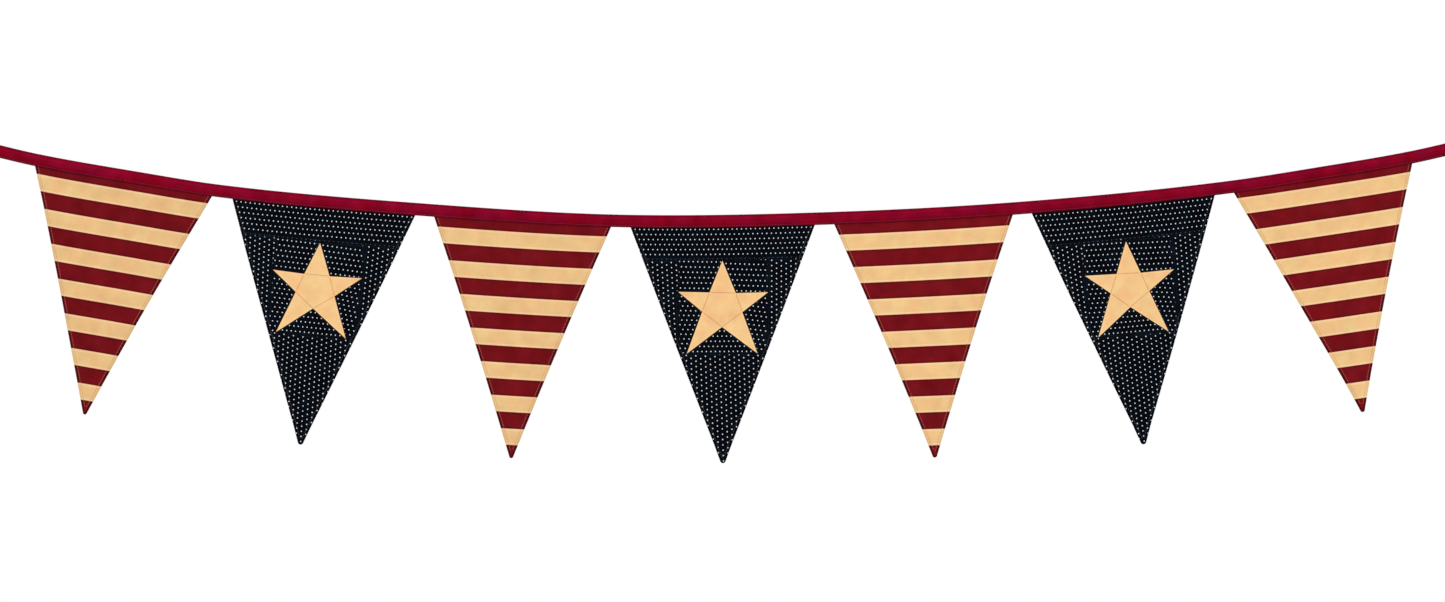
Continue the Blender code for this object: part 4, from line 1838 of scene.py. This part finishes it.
PATCHWORKS = {
    2: Patchwork(
        top_seam=35.2, left_seam=-46.6, right_seam=46.8,
        star=StarShape(
            top=(-0.4, 37.0), upper_right_notch=(12.6, 71.1), right_arm=(46.8, 70.3),
            right_notch=(19.6, 91.7), right_leg=(35.5, 135.5), lower_notch=(-1.7, 106.5),
            left_leg=(-38.5, 134.8), left_notch=(-21.5, 90.7), left_arm=(-47.6, 69.6),
            upper_left_notch=(-14.1, 70.9),
        ),
        dots={
            Patch.TOP_STRIP: (0.0, 13.1), Patch.LEFT_STRIP: (-62.5, 70.8),
            Patch.RIGHT_STRIP: (60.8, 70.1), Patch.UPPER_LEFT: (-26.2, 48.9),
            Patch.UPPER_RIGHT: (26.8, 51.7), Patch.LOWER_LEFT: (-37.8, 98.7),
            Patch.LOWER_RIGHT: (35.6, 100.6), Patch.BETWEEN_LEGS: (-1.4, 126.8),
            Patch.POINT: (1.4, 180.7),
        },
        recut={Patch.POINT: DotLattice(turn=88.7, pitch=5.35, spacing=5.02, skew=4.3)},
    ),
    4: Patchwork(
        top_seam=33.9, left_seam=-46.8, right_seam=47.0,
        star=StarShape(
            top=(-0.8, 35.0), upper_right_notch=(12.9, 69.5), right_arm=(47.0, 69.2),
            right_notch=(19.5, 89.8), right_leg=(35.0, 133.8), lower_notch=(-2.1, 105.2),
            left_leg=(-39.5, 133.0), left_notch=(-22.7, 88.7), left_arm=(-47.8, 67.4),
            upper_left_notch=(-14.7, 68.4),
        ),
        dots={
            Patch.TOP_STRIP: (2.0, 17.8), Patch.LEFT_STRIP: (-63.1, 68.8),
            Patch.RIGHT_STRIP: (60.7, 69.1), Patch.UPPER_LEFT: (-25.2, 52.8),
            Patch.UPPER_RIGHT: (26.9, 50.7), Patch.LOWER_LEFT: (-35.8, 102.5),
            Patch.LOWER_RIGHT: (35.4, 99.0), Patch.BETWEEN_LEGS: (-2.3, 125.5),
            Patch.POINT: (1.2, 181.9),
        },
        recut={
            Patch.TOP_STRIP: DotLattice(turn=0.0, pitch=4.86, spacing=5.27, skew=2.5),
            Patch.POINT: DotLattice(turn=88.7, pitch=5.64, spacing=5.02, skew=4.3),
        },
    ),
    6: Patchwork(
        top_seam=36.1, left_seam=-46.6, right_seam=46.6,
        star=StarShape(
            top=(-1.0, 38.2), upper_right_notch=(11.3, 72.6), right_arm=(46.5, 72.5),
            right_notch=(18.4, 92.7), right_leg=(34.5, 137.4), lower_notch=(-3.1, 107.6),
            left_leg=(-40.1, 136.4), left_notch=(-22.5, 91.2), left_arm=(-47.6, 70.2),
            upper_left_notch=(-14.3, 71.4),
        ),
        dots={
            Patch.TOP_STRIP: (-0.4, 14.0), Patch.LEFT_STRIP: (-62.1, 70.8),
            Patch.RIGHT_STRIP: (65.7, 70.9), Patch.UPPER_LEFT: (-26.5, 49.9),
            Patch.UPPER_RIGHT: (26.3, 53.2), Patch.LOWER_LEFT: (-37.3, 100.0),
            Patch.LOWER_RIGHT: (36.6, 96.1), Patch.BETWEEN_LEGS: (-0.2, 122.8),
            Patch.POINT: (-4.0, 179.6),
        },
        recut={Patch.POINT: DotLattice(turn=88.7, pitch=5.39, spacing=5.02, skew=4.3)},
    ),
}

CRIMSON = BindingCotton(
    "crimson_binding", "crimson_binding", dye(135, 6, 36), mottle=0.9, drift=1.7, slub=0.06,
)
STRIPED = StripedCotton("striped_cotton", "striped_cotton", dye(119, 19, 27), light=dye(242, 198, 139))
DOTTED = DottedCotton(
    "dotted_cotton", "dotted_cotton", dye(8, 12, 19), mottle=1.2, drift=1.4, dot=dye(250, 252, 255),
)
TAN = PiecedCotton("tan_cotton", "tan_cotton", dye(250, 203, 143), mottle=0.25, drift=0.4, slub=0.02)
CRIMSON_THREAD = Thread("crimson_thread", "crimson_binding", dye(150, 22, 58))
ROSE_THREAD = Thread("rose_thread", "striped_cotton", dye(178, 128, 106))
GREY_THREAD = Thread("grey_thread", "dotted_cotton", dye(74, 80, 92))


@dataclass(frozen=True)
class Lamp:
    """A soft square lamp: its place and the length of its side in metres, its power in watts."""

    name: str
    place: Place
    size: float
    power: float

    def add(self, aim: Place) -> None:
        """Adds the lamp, turned towards a place and out of the camera's sight.

        Args:
            aim: the place that it shines at.
        """
        data = bpy.data.lights.new(self.name, "AREA")
        data.size, data.energy = self.size, self.power
        lamp = bpy.data.objects.new(self.name, data)
        lamp.location = self.place
        lamp.rotation_euler = (Vector(aim) - Vector(self.place)).to_track_quat("-Z", "Y").to_euler()
        lamp.visible_camera = False
        bpy.context.collection.objects.link(lamp)


@dataclass(frozen=True)
class Studio:
    """The camera, lamps, white surroundings and pale floor, in metres."""

    picture_width: int = 1445
    picture_height: int = 602
    metres_per_pixel: float = 1.05 * MM
    picture_row_of_origin: float = 214.9
    lens: float = 85.0
    sensor: float = 36.0
    sight: float = 100.0
    lamps: tuple[Lamp, ...] = (
        Lamp("key_lamp", place=(-1.5, -2.4, 1.5), size=1.2, power=14.0),
        Lamp("side_lamp", place=(2.2, -1.6, 0.4), size=0.9, power=4.0),
    )
    lamps_aim: Place = (0.0, 0.0, -0.1)
    floor_colour: Colour = (0.86, 0.86, 0.85, 1.0)
    floor_roughness: float = 0.9
    floor_height: float = -1.35
    floor_radius: float = 2.4
    floor_sides: int = 96

    def add_camera(self) -> None:
        """Adds a level camera square to the bunting, as far off as the picture's scale asks."""
        data = bpy.data.cameras.new("camera")
        data.lens, data.sensor_width, data.sensor_fit = self.lens, self.sensor, "HORIZONTAL"
        data.clip_end = self.sight
        camera = bpy.data.objects.new("camera", data)
        distance = self.picture_width * self.metres_per_pixel / self.sensor * self.lens
        lift = (self.picture_row_of_origin - self.picture_height / 2.0) * self.metres_per_pixel
        camera.location = (0.0, -distance, lift)
        camera.rotation_euler = (math.pi / 2.0, 0.0, 0.0)
        bpy.context.collection.objects.link(camera)
        bpy.context.scene.camera = camera

    def add_floor(self) -> Item:
        """Adds a round pale floor well below the bunting.

        Returns:
            The floor.
        """
        angle = np.arange(self.floor_sides) * 2.0 * np.pi / self.floor_sides
        rim = np.stack([np.cos(angle), np.sin(angle), np.zeros_like(angle)], axis=-1)
        points = rim * self.floor_radius + np.array([0.0, 0.0, self.floor_height])
        mesh = bpy.data.meshes.new("floor")
        mesh.from_pydata(points.tolist(), [], [list(range(self.floor_sides))])
        nodes = Nodes("pale_floor", self.floor_roughness)
        nodes.shader.inputs["Base Color"].default_value = self.floor_colour
        mesh.materials.append(nodes.material)
        floor = bpy.data.objects.new("floor", mesh)
        bpy.context.collection.objects.link(floor)
        return floor

    def build(self) -> None:
        """Sets up the surroundings, lamps, camera and floor."""
        world = bpy.data.worlds.new("white_surroundings")
        world.use_nodes = True
        background = world.node_tree.nodes["Background"]
        background.inputs["Color"].default_value = WHITE
        background.inputs["Strength"].default_value = 1.0
        scene = bpy.context.scene
        scene.world = world
        scene.view_settings.view_transform = "Standard"
        for lamp in self.lamps:
            lamp.add(self.lamps_aim)
        self.add_camera()
        self.add_floor()


def hang(item: Item, slot: str, *nodes: str) -> Item:
    """Makes a piece part of the bunting.

    Args:
        item: the piece.
        slot: not used.
        nodes: the solids that it stands for, if any.

    Returns:
        The piece.
    """
    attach(item, "root")
    if nodes:
        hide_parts(*nodes)
    stands_for = ", ".join(nodes) or "nothing"
    LOG.info("%s: %d faces, stands for %s", item.name, len(item.data.polygons), stands_for)
    return item


def hang_tape(line: TapeLine, sheets: list[FlagSheet]) -> None:
    """Args:
        line: the tape's top edge.
        sheets: the flags that it holds.
    """
    reaches = []
    for flag in sheets:
        half = flag.shape.width / 2.0 * (1.0 + FLAG_TUCK / flag.shape.drop)
        reach = half * flag.along[0] + TAPE_SLOT_MARGIN
        reaches.append((flag.shape.middle - reach, flag.shape.middle + reach))
    tape, stitches = BindingTape(line, tuple(reaches)).build(CRIMSON.dress(), CRIMSON_THREAD.dress())
    hang(tape, CRIMSON.slot, "binding_tape")
    hang(stitches, CRIMSON.slot)
    first, last = line.ends


def hang_striped_flag(flag: FlagSheet, cloth: Material, thread: Material) -> None:
    """Builds and hangs one striped flag.

    Args:
        flag: its surface.
        cloth: the material of its sheet.
        thread: the material of its stitches.
    """
    shape = flag.shape
    stitches = hang(topstitch(flag, thread), STRIPED.slot)
    sheet = hang(StripedFlag(flag, STRIPES[shape.number]).build(cloth), STRIPED.slot, shape.node)


def hang_starred_flag(flag: FlagSheet, cloth: Material, star_cloth: Material, thread: Material) -> None:
    """Builds and hangs one starred flag: its pieced front, its back and its star.

    Args:
        flag: its surface.
        cloth: the material of its dotted patches and of its back.
        star_cloth: the material of its star.
        thread: the material of its stitches.
    """
    shape = flag.shape
    starred = StarredFlag(flag, PATCHWORKS[shape.number])
    ground = hang(starred.build_ground(cloth), DOTTED.slot, shape.node)
    back = hang(starred.build_back(cloth), DOTTED.slot)
    star = hang(starred.build_star(star_cloth), TAN.slot, f"star_{shape.number}")
    stitches = hang(topstitch(flag, thread), DOTTED.slot)


def main() -> None:
    """Builds the bunting piece by piece and sets up the studio."""
    logging.basicConfig(level=logging.INFO, format="%(message)s")
    line = TapeLine()
    sheets = [FlagSheet(shape, line) for shape in FLAGS]
    hang_tape(line, sheets)
    striped, dotted, tan = STRIPED.dress(), DOTTED.dress(), TAN.dress()
    rose, grey = ROSE_THREAD.dress(), GREY_THREAD.dress()
    for flag in sheets:
        if flag.shape.cloth is Cloth.STRIPED:
            hang_striped_flag(flag, striped, rose)
        else:
            hang_starred_flag(flag, dotted, tan, grey)
    Studio().build()


if __name__ == "__main__":
    main()
